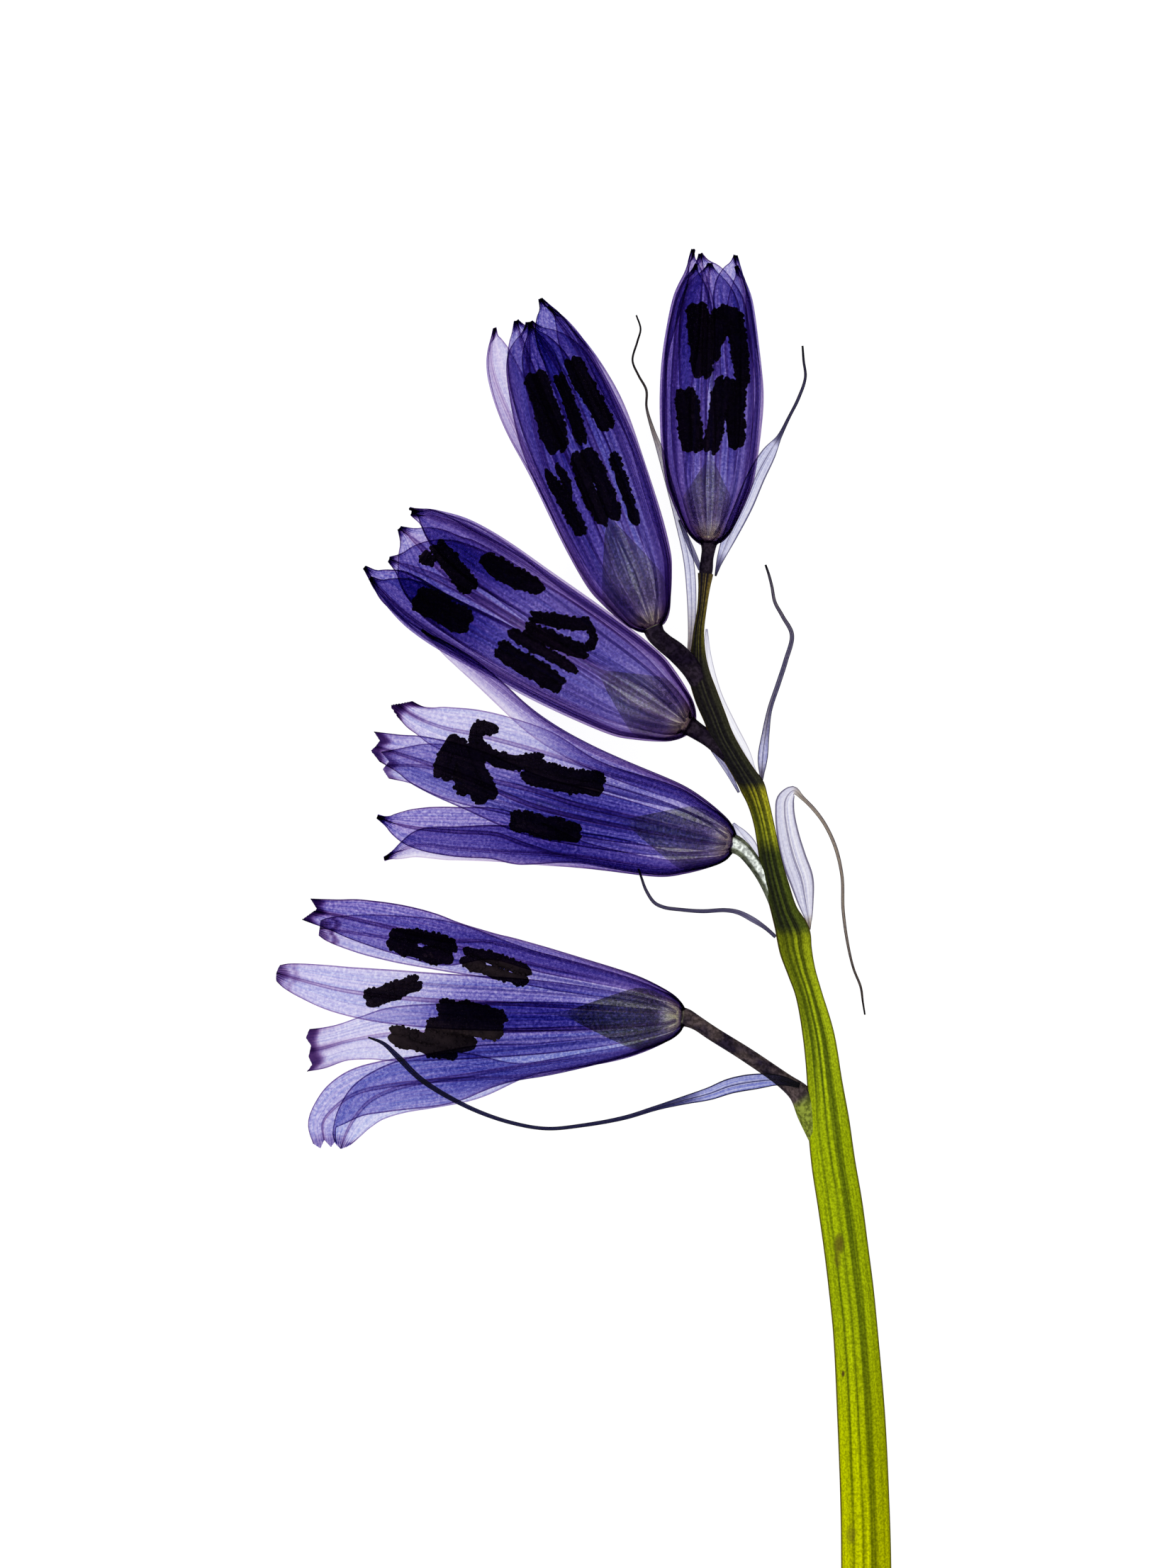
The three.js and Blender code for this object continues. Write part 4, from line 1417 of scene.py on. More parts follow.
@dataclass(frozen=True)
class Pistil:
    """The three-lobed ovary with its style and stigma, as one closed turned shape.

    ovary and style are the places along the bell where they end, and radius is the ovary's widest.
    """

    ovary: float
    style: float
    radius: float = 1.0
    pigment: float = 1.0
    lobe_depth: float = 0.10
    steps: int = 90
    sides: int = 36

    def outline(self) -> np.ndarray:
        """Gives place and radius along the pistil.

        Returns:
            An array of even rows.
        """
        wide, rest = self.radius, self.ovary - 2.0
        rows = (
            (0.18, 0.03), (0.22, wide * 0.25), (0.5, wide * 0.48), (1.1, wide * 0.78), (1.8, wide * 0.98),
            (2.3, wide), (2.0 + rest * 0.35, wide * 0.76), (2.0 + rest * 0.7, wide * 0.38),
            (self.ovary, 0.12), (self.style - 0.5, 0.10), (self.style - 0.1, 0.18), (self.style, 0.03),
        )
        return SmoothLine(rows, places=2).evenly(self.steps)

    def build(self, shop: Workshop, node: str, bell: Bell, seed: int) -> None:
        """Builds and shows the pistil.

        Args:
            shop: the trees and finishes.
            node: the node that it replaces.
            bell: where the flower's bell is.
            seed: sets its streaks.
        """
        line = self.outline()
        place = line[:, 0]
        turn = np.linspace(0.0, math.tau, self.sides + 1)
        body = ease(place, 0.4, 1.0) * (1.0 - ease(place, self.ovary - 1.0, self.ovary))
        radius = line[:, 1][:, None] * (1.0 + self.lobe_depth * body[:, None] * np.cos(3 * turn)[None, :])
        points = np.stack([np.broadcast_to(place[:, None], radius.shape), radius * np.cos(turn),
                           radius * np.sin(turn)], axis=-1)
        points = bell.placed(points)
        # The pigment is thinned where the ovary's side stands steep, less so towards the tip, against the
        # painted shade that the finish adds there.
        slant = Sheet(points, most_fold=4.0).fold()
        tipward = ease(place, 2.2, self.ovary - 0.8)[:, None]
        dense = self.pigment * (0.25 + 0.85 * (body * ease(place, 0.4, 1.6))[:, None])
        values = {
            "pigment": dense / slant ** (0.7 - 0.6 * tipward), "blue": 0.3, "dark": 0.0,
            "foot": 1.2 * (1.0 - ease(place, 0.4, 1.2))[:, None], "seed": float(seed),
        }
        mesh = self.closed(Sheet(points, values, most_fold=3.0).mesh(node), shop.dressing.ovary)
        show(f"{node}_ovary", mesh, node)

    @staticmethod
    def closed(mesh: Mesh, material: Material) -> Mesh:
        """Joins a turned sheet's seam and closes its two ends.

        Args:
            mesh: the turned sheet.
            material: its finish.

        Returns:
            The same mesh, closed.
        """
        work = bmesh.new()
        work.from_mesh(mesh)
        bmesh.ops.remove_doubles(work, verts=work.verts, dist=MERGE_DISTANCE)
        bmesh.ops.holes_fill(work, edges=work.edges, sides=0)
        bmesh.ops.recalc_face_normals(work, faces=work.faces)
        for face in work.faces:
            face.smooth = True
        work.to_mesh(mesh)
        work.free()
        mesh.materials.append(material)
        return mesh


@dataclass(frozen=True)
class Bar:
    """A solid round piece: x, y, z and radius along its middle line, in the drawing."""

    line: Rows
    sides: int
    steps: int
    ridges: float
    ridge_height: float

    def mesh(self, shop: Workshop, name: str, material: Material) -> Mesh:
        """Makes the bar's mesh.

        Args:
            shop: the trees and finishes.
            name: the mesh's name.
            material: its finish.

        Returns:
            The closed mesh.
        """
        rows = SmoothLine(self.line).evenly(self.steps)
        placed = np.column_stack([to_frame(rows[:, :3]), rows[:, 3] * MM])
        return shop.bar.grow(line_mesh(name, placed), Sides=self.sides, Ridges=self.ridges,
                             Ridge_Height=self.ridge_height * MM, Material=material)


@dataclass(frozen=True)
class Stem(Bar):
    """The stem, from the cut end to the top flower."""

    sides: int = 72
    steps: int = 420
    ridges: float = 14.0
    ridge_height: float = 0.008

    def build(self, shop: Workshop) -> None:
        """Builds and shows the stem."""
        show("stem_skin", self.mesh(shop, "stem", shop.dressing.stem), "stem")


@dataclass(frozen=True)
class Stalk(Bar):
    """A flower stalk, which widens to the receptacle."""

    sides: int = 28
    steps: int = 60
    ridges: float = 6.0
    ridge_height: float = 0.02
    skin: StalkSkin = StalkSkin.DARK

    def build(self, shop: Workshop, node: str) -> None:
        """Builds and shows the stalk."""
        show(f"{node}_skin", self.mesh(shop, node, shop.dressing.stalks[self.skin]), node)


@dataclass
class Flower:
    """One flower: six tepals, six stamens, a pistil and a stalk.

    filament_rise is how the filaments leave the axis: place along the bell, and distance off it.
    """

    number: int
    bell: Bell
    stalk: Stalk
    pistil: Pistil
    outer: tuple[Tepal, ...]
    inner: tuple[Tepal, ...]
    anthers: tuple[Anther, ...]
    filament_radius: float = 0.07
    filament_rise: Rows = ((0.45, 0.25), (1.0, 0.6), (2.0, 1.02), (3.2, 1.3))
    filament_steps: int = 26
    filament_sides: int = 8
    room_for_tepals: float = 0.75
    grain_density: float = 1.6e7
    grain_size: float = 0.105

    def node(self, piece: str) -> str:
        """Gives the name of this flower's node for a piece."""
        return f"flower{self.number}_{piece}"

    def build(self, shop: Workshop) -> None:
        """Builds and shows all pieces of the flower.

        Args:
            shop: the trees and finishes.
        """
        for ring, tepals in ((Ring.OUTER, self.outer), (Ring.INNER, self.inner)):
            for i, tepal in enumerate(tepals):
                node = self.node(f"{ring.name.lower()}_tepal_{i + 1}")
                tepal.build(shop, node, self.bell, ring)
        self.build_stamens(shop, self.node("stamens"))
        self.pistil.build(shop, self.node("pistil"), self.bell, self.number)
        self.stalk.build(shop, self.node("stalk"))

    def reach(self, place: float) -> float:
        """Works out how far from the bell's axis an anther fits.

        Args:
            place: the place along the bell.

        Returns:
            The distance, in millimetres.
        """
        first = self.outer[1]
        line = [(0.3, 0.8), *first.shoulder, (self.bell.waist[0], first.waist_radius or self.bell.waist[1])]
        line += [(s, r) for s, r, _ in first.far[:-1]]
        radius = np.interp(place, [row[0] for row in line], [row[1] for row in line])
        return float(max(radius - self.room_for_tepals, 0.3))

    def build_stamens(self, shop: Workshop, node: str) -> None:
        """Builds the anthers with their rough skin, and the filaments.

        Args:
            shop: the trees and finishes.
            node: the node that they replace.
        """
        lobes, filaments = [], []
        for anther in self.anthers:
            lines = anther.lobe_lines(self.reach)
            for rows in lines:
                placed = np.column_stack([self.bell.placed(rows[:, :3]), rows[:, 3] * MM])
                lobes.append(shop.bar.grow(
                    line_mesh(node, placed), Sides=anther.sides, Ridges=anther.ridges,
                    Ridge_Height=anther.ridge_height * MM, Material=shop.dressing.anther))
            filaments.append(self.filament(shop, node, lines[0][-1], len(filaments)))
        mesh = shop.grains.grow(joined_mesh(node, lobes), Density=self.grain_density,
                                Grain_Size=self.grain_size * MM, Material=shop.dressing.anther)
        show(f"{node}_anthers", mesh, node)
        show(f"{node}_filaments", joined_mesh(node, filaments), node)

    def filament(self, shop: Workshop, node: str, end: np.ndarray, count: int) -> Mesh:
        """Builds one filament.

        Args:
            shop: the trees and finishes.
            node: the node's name.
            end: place, side and height where the anther's near end is.
            count: how many filaments there are already.

        Returns:
            The filament's mesh.
        """
        angle = math.atan2(end[2], end[1])
        rise = [(s, r * math.cos(angle), r * math.sin(angle))
                for s, r in self.filament_rise if s < end[0] - 0.8]
        line = SmoothLine([*rise, (end[0] + 0.4, end[1], end[2])]).evenly(self.filament_steps)
        width = np.full(self.filament_steps, self.filament_radius * MM)
        placed = np.column_stack([self.bell.placed(line), width])
        values = {"pigment": 1.0, "blue": 0.5, "dark": 0.0, "foot": 0.0, "fold": 1.0, "seed": float(count)}
        return shop.bar.grow(line_mesh(node, placed, **values), Sides=self.filament_sides, Ridges=0.0,
                             Ridge_Height=0.0, Material=shop.dressing.filament)


@dataclass(frozen=True)
class Bract:
    """A thin bract whose blade narrows to a wavy thread: x, y, z and half width along its middle.

    thread_width is the half width at which the blade becomes thread, thread_dark how dark the thread is,
    and tan how far it is tan instead.
    """

    node: str
    line: Rows
    crease: float = 0.25
    pigment: float = 1.0
    blue: float = 0.3
    thread_dark: float = 2.4
    tan: float = 0.0
    thickness: float = 0.08
    thread_width: float = 0.16
    ribs: float = 3.0
    rib_height: float = 0.005
    cells_across: int = 10
    cells_along: int = 160

    def build(self, shop: Workshop) -> None:
        """Builds and shows the bract.

        Args:
            shop: the trees and finishes.
        """
        rows = SmoothLine(self.line).evenly(self.cells_along + 1)
        width = rows[:, 3]
        thread = 1.0 - ease(width, self.thread_width * 0.5, self.thread_width * 1.5)
        rng = np.random.default_rng(name_seed(self.node))
        values = {
            "thick": np.full((len(rows), 1), self.thickness * MM),
            "pigment": self.pigment * (1.0 + 0.6 * thread)[:, None],
            "blue": self.blue, "dark": self.thread_dark * thread[:, None] * (1.0 - self.tan),
            "foot": (self.tan * thread * 2.0)[:, None], "seed": rng.uniform(0.0, 50.0),
        }
        sheet = Sheet(to_frame(self.points(rows)), values, most_fold=3.0)
        mesh = shop.shell.grow(sheet.mesh(self.node), Ribs=self.ribs, Rib_Height=self.rib_height * MM,
                               Material=shop.dressing.bract)
        show(f"{self.node}_blade", mesh, self.node)

    def points(self, rows: np.ndarray) -> np.ndarray:
        """Shapes the blade, whose middle lies lower than its edges.

        Args:
            rows: x, y, z and half width at each step.

        Returns:
            A row of points in the drawing to each step.
        """
        heading = unit(np.gradient(rows[:, :3], axis=0))
        side = unit(np.cross(heading, np.array([0.0, 0.0, 1.0])))
        up = np.cross(side, heading)
        across = np.linspace(1.0, -1.0, self.cells_across + 1)
        width = rows[:, 3]
        trough = np.abs(across)[None, :] ** 1.5 - 0.4
        lift = self.crease * (width * ease(width, 0.05, 0.2))[:, None] * trough
        points = rows[:, None, :3] + side[:, None, :] * (width[:, None] * across[None, :])[..., None]
        return points + up[:, None, :] * lift[..., None]


@dataclass(frozen=True)
class Studio:
    """The pale lit floor, the soft light and the camera that looks straight down."""

    floor_size: float = 1.2
    floor_glow: float = 0.93
    floor_diffuse: float = 0.12
    sky: float = 0.75
    lamp_size: float = 0.6
    lamp_place: Row = (-0.1, 0.08, 0.45)
    lamp_power: float = 3.0
    lens: float = 200.0
    sensor: float = 36.0
    subject_height: float = 2.7
    layers_seen_through: int = 48

    def build(self) -> None:
        """Builds the studio."""
        scene = bpy.context.scene
        scene.view_settings.view_transform = "Standard"
        scene.cycles.transparent_max_bounces = self.layers_seen_through
        self.build_floor()
        self.build_light()
        self.build_camera()

    def build_floor(self) -> None:
        """Builds the floor, which glows evenly and takes a faint shadow."""
        half = self.floor_size / 2
        mesh = bpy.data.meshes.new("floor")
        corners = [(-half, -half, 0.0), (half, -half, 0.0), (half, half, 0.0), (-half, half, 0.0)]
        mesh.from_pydata(corners, [], [(0, 1, 2, 3)])
        material, web, surface = blank_material("pale floor")
        glow = web.add("ShaderNodeEmission", {"Color": opaque((1.0,) * 3), "Strength": self.floor_glow})
        matt = web.add("ShaderNodeBsdfDiffuse", {"Color": opaque((self.floor_diffuse,) * 3)})
        both = web.add("ShaderNodeAddShader", {0: glow.outputs[0], 1: matt.outputs[0]})
        web.feed(surface, both.outputs[0])
        mesh.materials.append(material)
        placed_object("floor", mesh)

    def build_light(self) -> None:
        """Builds the even sky and one wide soft lamp."""
        world = bpy.data.worlds.new("studio")
        bpy.context.scene.world = world
        world.use_nodes = True
        background = world.node_tree.nodes["Background"]
        background.inputs["Color"].default_value = opaque((1.0,) * 3)
        background.inputs["Strength"].default_value = self.sky
        lamp = bpy.data.lights.new("soft lamp", "AREA")
        lamp.size = self.lamp_size
        lamp.energy = self.lamp_power
        holder = placed_object("soft lamp", lamp)
        holder.location = self.lamp_place
        holder.rotation_euler = (-holder.location).to_track_quat("-Z", "Y").to_euler()

    def build_camera(self) -> None:
        """Puts the camera straight above the middle of the picture."""
        middle = to_frame(np.array([
            (PICTURE_SIZE[0] / 2 - PICTURE_ZERO[0]) / PIXELS_PER_MM,
            (PICTURE_ZERO[1] - PICTURE_SIZE[1] / 2) / PIXELS_PER_MM,
            self.subject_height,
        ]))
        long_side = max(PICTURE_SIZE) / PIXELS_PER_MM * MM
        camera = bpy.data.cameras.new("camera")
        camera.lens = self.lens
        camera.sensor_width = self.sensor
        camera.clip_start = 0.01
        camera.clip_end = 10.0
        holder = placed_object("camera", camera)
        holder.location = Vector(middle) + Vector((0.0, 0.0, self.lens / self.sensor * long_side))
        bpy.context.scene.camera = holder


STEM = Stem((
    (7.3, -48.0, 1.22, 1.2), (7.45, -38.0, 1.62, 1.19), (7.42, -27.0, 2.05, 1.175),
    (7.35, -24.0, 2.2, 1.15), (7.175, -20.0, 2.35, 1.125), (6.9, -16.0, 2.5, 1.05),
    (6.7, -14.0, 2.55, 1.05), (6.45, -12.0, 2.6, 1.04), (6.175, -10.0, 2.65, 1.05),
    (5.85, -8.0, 2.7, 1.03), (5.62, -6.0, 2.75, 0.97), (5.45, -4.3, 2.8, 0.83), (5.15, -2.0, 2.8, 0.74),
    (4.67, 0.0, 2.8, 0.62), (4.35, 1.0, 2.8, 0.66), (4.08, 2.0, 2.8, 0.76), (3.95, 2.8, 2.8, 0.8),
    (3.55, 3.8, 2.78, 0.62), (3.2, 5.0, 2.75, 0.57), (2.95, 6.0, 2.72, 0.53), (2.57, 8.0, 2.7, 0.47),
    (2.3, 9.0, 2.7, 0.51), (2.03, 9.7, 2.7, 0.58), (1.78, 10.1, 2.7, 0.53), (1.22, 11.0, 2.7, 0.5),
    (0.65, 12.0, 2.68, 0.52), (0.25, 13.0, 2.66, 0.54), (-0.15, 14.0, 2.64, 0.56),
    (-0.45, 15.0, 2.6, 0.5), (-0.5, 16.0, 2.57, 0.34), (-0.47, 17.0, 2.53, 0.25),
    (-0.33, 18.0, 2.46, 0.22), (-0.22, 19.0, 2.38, 0.27), (-0.15, 19.7, 2.36, 0.36),
))

FLOWERS = (
    Flower(
        number=1,
        bell=Bell((0.0, 21.05, 2.38), 89.0, -1.5, 0.9, (7.0, 2.38)),
        stalk=Stalk((
            (-0.2, 19.2, 2.37, 0.22), (-0.13, 19.9, 2.37, 0.3), (-0.08, 20.4, 2.38, 0.28),
            (-0.02, 20.8, 2.38, 0.3), (0.0, 21.05, 2.38, 0.36), (0.01, 21.25, 2.38, 0.44),
        )),
        pistil=Pistil(4.2, 8.6, radius=1.1),
        outer=(
            Tepal(20, ((11.6, 1.85, 0), (13.0, 1.25, 0), (13.9, 1.02, 0)), 1.95, pigment=1.4, deep=1.2),
            Tepal(140, ((11.6, 1.82, 4), (12.9, 1.28, 12), (13.65, 1.08, 20)), 1.95, pigment=1.25),
            Tepal(260, ((11.6, 1.82, 12), (12.9, 1.25, 30), (13.8, 1.08, 44)), 1.95, pigment=1.2),
        ),
        inner=(
            Tepal(80, ((11.6, 1.85, 0), (13.2, 1.2, 0)), 1.85, pigment=1.2),
            Tepal(200, ((11.6, 1.85, 0), (13.2, 1.25, 0)), 1.85),
            Tepal(320, ((11.6, 1.85, 0), (13.3, 1.2, 0)), 1.85, pigment=1.2, deep=1.1),
        ),
        anthers=(
            Anther(((11.4, 0.75), (9.5, 0.5), (7.8, 0.4)), 1, 1.05),
            Anther(((9.7, -0.1), (10.8, -0.5), (10.4, -1.15), (9.1, -1.6), (7.4, -1.95)), -1, 1.1),
            Anther(((10.6, -0.35), (9.6, -0.25), (8.6, -0.1)), 1, 0.45),
            Anther(((7.4, 1.25), (5.9, 1.0), (4.4, 0.8)), -1, 1.05),
            Anther(((7.9, -0.6), (6.2, -0.35), (4.3, -0.0)), 1, 0.85),
            Anther(((7.9, -1.2), (6.2, -1.15), (4.6, -1.3)), -1, 0.9),
        ),
    ),
    Flower(
        number=2,
        bell=Bell((-2.6, 17.0, 4.0), 112.0, -8.6, 0.8, (9.0, 2.64), 1.02),
        stalk=Stalk((
            (-0.35, 14.4, 2.65, 0.42), (-0.8, 15.2, 2.9, 0.46), (-1.5, 15.95, 3.3, 0.46),
            (-2.15, 16.45, 3.75, 0.42), (-2.5, 16.8, 4.02, 0.42), (-2.66, 17.15, 4.0, 0.46),
        )),
        pistil=Pistil(5.9, 10.0, radius=1.5),
        outer=(
            Tepal(30, ((13.4, 2.86, 0), (14.8, 2.6, 0), (16.1, 1.85, 0)), 2.0, pigment=0.6, deep=1.15),
            Tepal(135, ((13.4, 2.32, 0), (15.2, 1.75, 3), (16.6, 1.25, 4)), 2.1, pigment=2.3, deep=1.0,
                  fade=(0.72, 0.92), lean=-0.2),
            Tepal(255, ((13.4, 2.3, 0), (15.0, 1.8, 6), (16.1, 1.3, 10)), 2.1, pigment=1.5),
        ),
        inner=(
            Tepal(75, ((13.4, 2.25, -4), (15.0, 1.7, -8), (16.0, 1.3, -10)), 2.0, pigment=1.6),
            Tepal(195, ((13.4, 2.3, 0), (15.0, 1.9, 0), (16.3, 1.3, 0)), 2.0, pigment=1.2),
            Tepal(315, ((13.4, 2.2, -14), (15.0, 1.8, -30), (16.1, 1.3, -45)), 2.0, pigment=1.4,
                  deep=1.1),
        ),
        anthers=(
            Anther(((13.5, 0.62), (11.4, 0.78), (9.4, 0.98)), 1, 1.2),
            Anther(((13.2, -0.4), (11.4, -0.36), (9.6, -0.25)), -1, 0.55),
            Anther(((13.5, -1.15), (11.5, -1.42), (9.6, -1.68)), 1, 0.9),
            Anther(((9.0, 2.1), (7.6, 1.65), (5.5, 1.4)), -1, 0.7),
            Anther(((9.2, 1.3), (8.3, 1.15), (7.4, 1.3)), -1, 0.36, lobes=1),
            Anther(((9.1, 0.02), (7.3, 0.0), (5.4, -0.06)), 1, 1.25, 0.11),
            Anther(((8.7, -1.38), (7.0, -1.28), (5.0, -1.15)), -1, 0.5, lobes=1),
        ),
    ),
    Flower(
        number=3,
        bell=Bell((-0.8, 12.45, 2.45), 149.0, 2.5, 0.75, (9.5, 2.86), 1.08),
        stalk=Stalk((
            (0.95, 11.1, 2.7, 0.34), (0.5, 11.55, 2.65, 0.38), (0.0, 11.95, 2.56, 0.38),
            (-0.45, 12.22, 2.48, 0.38), (-0.8, 12.45, 2.45, 0.42), (-1.0, 12.57, 2.45, 0.48),
        )),
        pistil=Pistil(5.2, 10.0, radius=1.5),
        outer=(
            Tepal(150, ((14.0, 2.95, 0), (15.6, 2.6, 0), (16.7, 2.3, 0)), 2.6, pigment=1.6, deep=0.7,
                  lean=-0.4, fade=(0.55, 0.85)),
            Tepal(270, ((14.0, 2.75, -8), (15.4, 2.5, -18), (16.6, 2.3, -25)), 2.6, pigment=1.5,
                  deep=0.65, fade=(0.55, 0.85)),
            Tepal(30, ((14.0, 2.8, 0), (15.8, 2.3, 0), (17.1, 1.75, 0)), 2.6, pigment=1.9, deep=0.7,
                  lean=0.4, fade=(0.55, 0.85)),
        ),
        inner=(
            Tepal(90, ((14.0, 2.75, -4), (15.4, 2.4, -10), (16.3, 2.3, -15)), 2.5, pigment=1.5,
                  deep=0.65, fade=(0.55, 0.85)),
            Tepal(210, ((14.0, 2.9, 0), (15.6, 2.7, 4), (16.5, 2.5, 8)), 2.5, pigment=1.1, deep=0.65,
                  fade=(0.55, 0.85)),
            Tepal(330, ((14.0, 2.75, 0), (15.5, 2.5, 0), (16.6, 2.2, 0)), 2.5, pigment=1.4, deep=0.7,
                  lean=-0.4, fade=(0.55, 0.85)),
        ),
        anthers=(
            Anther(((14.4, 1.34), (12.9, 1.3), (11.4, 1.2)), 1, 1.2),
            Anther(((14.8, -1.25), (13.5, -0.75), (12.1, -0.25)), -1, 0.9),
            Anther(((15.1, -0.42), (14.8, -0.42), (14.4, -0.5)), -1, 0.62, lobes=1),
            Anther(((12.6, -2.0), (11.6, -1.75), (10.5, -1.85), (9.4, -2.2)), 1, 1.0),
            Anther(((9.2, -0.6), (7.8, -1.15), (6.4, -1.8)), -1, 0.62),
            Anther(((6.5, -1.6), (6.1, -1.1), (6.1, -0.6)), 1, 0.4, lobes=1),
            Anther(((9.2, 0.04), (7.6, -0.2), (6.0, -0.5)), 1, 0.78),
            Anther(((9.8, 0.55), (7.8, 0.5), (6.0, 0.5)), 1, 0.5, lobes=1),
            Anther(((9.8, 1.45), (8.0, 1.45), (6.2, 1.5)), -1, 0.95),
        ),
    ),
    Flower(
        number=4,
        bell=Bell((1.25, 6.95, 2.6), 168.0, -1.2, 0.66, (7.5, 2.7), 1.08),
        stalk=Stalk((
            (3.55, 3.3, 2.8, 0.42), (3.1, 4.4, 2.78, 0.34), (2.6, 5.4, 2.75, 0.32),
            (2.05, 6.2, 2.68, 0.32), (1.6, 6.72, 2.62, 0.36), (1.25, 6.95, 2.6, 0.42),
            (1.05, 7.0, 2.6, 0.46),
        ), skin=StalkSkin.GREEN),
        pistil=Pistil(5.4, 9.6, radius=1.5, pigment=1.15),
        outer=(
            Tepal(202, ((10.0, 4.0, 0), (12.5, 5.25, 0), (14.7, 6.45, 0), (16.6, 7.4, 0)), 1.45, 3.1,
                  pigment=1.1, deep=1.7, lean=-0.7),
            Tepal(84, ((10.0, 3.6, 4), (12.6, 3.9, 12), (15.3, 4.1, 17), (17.5, 4.2, 20)), 1.45,
                  pigment=1.35, deep=1.9, outline=Outline.HOODED, facing=Facing.OUTSIDE_UP,
                  tip_dark=1.3, end=((-1, -0.5), (-0.4, 0.05), (0.0, -0.1), (0.5, -0.2), (1, 0.2))),
            Tepal(324, ((11.0, 3.25, 0), (13.0, 3.6, 0), (14.8, 3.9, 0), (16.1, 5.1, 0)), 1.5, 2.6,
                  pigment=1.1, deep=1.9, lean=-0.85),
        ),
        inner=(
            Tepal(144, ((10.0, 3.4, -8), (13.0, 4.0, -13.5), (14.6, 4.0, -13.5), (16.0, 4.2, -11),
                  (16.9, 4.3, -5)), 1.2, pigment=0.85, deep=1.9, fade=(0.32, 0.62),
                  outline=Outline.HOODED, hug=0.5, facing=Facing.OUTSIDE_UP, tip_dark=1.7, ruffle=0.16,
                  end=((-1, -0.5), (-0.4, 0.2), (0.2, -0.15), (1, -0.6))),
            Tepal(264, ((10.0, 3.1, -4), (13.5, 3.2, -4), (15.3, 3.2, -4), (17.0, 3.2, 2)), 1.45,
                  pigment=1.0, deep=1.8, outline=Outline.HOODED, facing=Facing.INSIDE_UP, tip_dark=0.7,
                  end=((-1, 0.2), (-0.3, -0.2), (0.3, 0.1), (1, -0.2))),
            Tepal(24, ((9.5, 2.6, 10), (11.0, 2.8, 22), (13.0, 3.1, 20), (15.0, 3.3, 18),
                  (16.1, 3.3, 19), (16.7, 3.3, 22)), 1.25, 2.5, pigment=1.9, deep=1.8,
                  facing=Facing.OUTSIDE_UP),
        ),
        anthers=(
            Anther(((13.7, -2.3), (13.95, -1.2), (14.15, -0.1)), 1, 1.0),
            Anther(((13.4, -2.0), (12.6, -0.7), (11.7, 0.4)), 1, 1.3),
            Anther(((12.0, -3.0), (12.9, -2.9), (12.9, -2.2), (12.2, -1.75), (11.0, -1.65),
                   (9.6, -2.1)), 1, 0.7),
            Anther(((10.5, -1.4), (8.5, -1.35), (6.6, -1.5)), 1, 1.15),
            Anther(((13.5, -1.3), (13.1, -0.6), (12.7, 0.25)), -1, 1.3),
            Anther(((10.6, 1.05), (8.9, 1.0), (7.2, 1.0)), 1, 1.0),
        ),
    ),
    Flower(
        number=5,
        bell=Bell((-1.1, -1.15, 2.8), 178.5, 1.6, 0.66, (7.0, 3.2), 1.04, 0.88),
        stalk=Stalk((
            (5.25, -6.7, 2.75, 0.6), (4.75, -5.65, 2.75, 0.6), (4.3, -4.8, 2.75, 0.5),
            (3.6, -4.2, 2.75, 0.37), (1.8, -2.95, 2.75, 0.33), (0.2, -1.95, 2.76, 0.32),
            (-0.6, -1.42, 2.78, 0.33), (-1.1, -1.18, 2.8, 0.42), (-1.3, -1.16, 2.8, 0.46),
        ), skin=StalkSkin.BROWN),
        pistil=Pistil(5.8, 10.6, radius=1.45, pigment=1.9),
        outer=(
            Tepal(150, ((9.3, 3.78, 0), (11.4, 3.85, 0), (13.9, 4.45, 0), (16.0, 4.95, 0),
                  (17.7, 5.3, 0)), 1.2, pigment=2.0, deep=1.75, fade=(0.5, 0.75),
                  outline=Outline.HOODED, facing=Facing.OUTSIDE_UP, lean=0.25, tip_dark=1.5,
                  turn=(0.5, 0.75), end=((-1, 0.35), (-0.3, 0.0), (0.2, -0.25), (1, 0.15))),
            Tepal(285, ((12.0, 4.3, 0), (14.1, 4.4, 2), (15.8, 4.5, 6), (17.0, 4.6, 10.5),
                  (17.6, 4.6, 12)), 1.35, pigment=0.7, deep=2.3, fade=(0.52, 0.78),
                  outline=Outline.FLARED, facing=Facing.INSIDE_UP, tip_dark=1.2, end=((-1, -0.1),
                  (-0.6, 0.12), (-0.2, -0.08), (0.3, 0.12), (0.7, 0.0), (1, 0.3))),
            Tepal(38, ((10.0, 3.6, -2), (12.0, 4.05, -2), (13.5, 4.4, -4), (14.7, 4.9, -8),
                  (15.4, 5.65, -11), (15.8, 6.4, -13), (16.0, 7.0, -14)), 1.3, 2.95, pigment=1.0,
                  deep=1.4, blue=0.6, fade=(0.5, 0.8), outline=Outline.BLUNT, facing=Facing.OUTSIDE_UP,
                  turn=(0.4, 0.7), tip_dark=0.3, lean=0.35, end=((-1, -0.2), (0, 0.15), (1, -0.1))),
        ),
        inner=(
            Tepal(225, ((10.9, 4.3, 0), (13.9, 4.8, 0), (16.4, 5.2, 0), (17.3, 5.35, 0)), 1.2,
                  pigment=1.0, deep=1.7, fade=(0.5, 0.75), outline=Outline.BLUNT,
                  facing=Facing.INSIDE_UP, tip_dark=0.7, band=2.0),
            Tepal(344, ((10.0, 3.4, 0), (12.0, 3.6, 0), (14.0, 3.9, 0), (15.4, 4.3, 0), (16.35, 5.0, 0),
                  (16.9, 5.8, 0), (16.8, 6.8, 0)), 1.25, 3.1, pigment=1.25, deep=1.6, blue=0.55,
                  fade=(0.5, 0.8), outline=Outline.HOODED, facing=Facing.INSIDE_UP, turn=(0.4, 0.7),
                  tip_dark=0.25, end=((-1, -0.1), (-0.4, 0.2), (0, -0.2), (0.5, 0.2), (1, -0.1))),
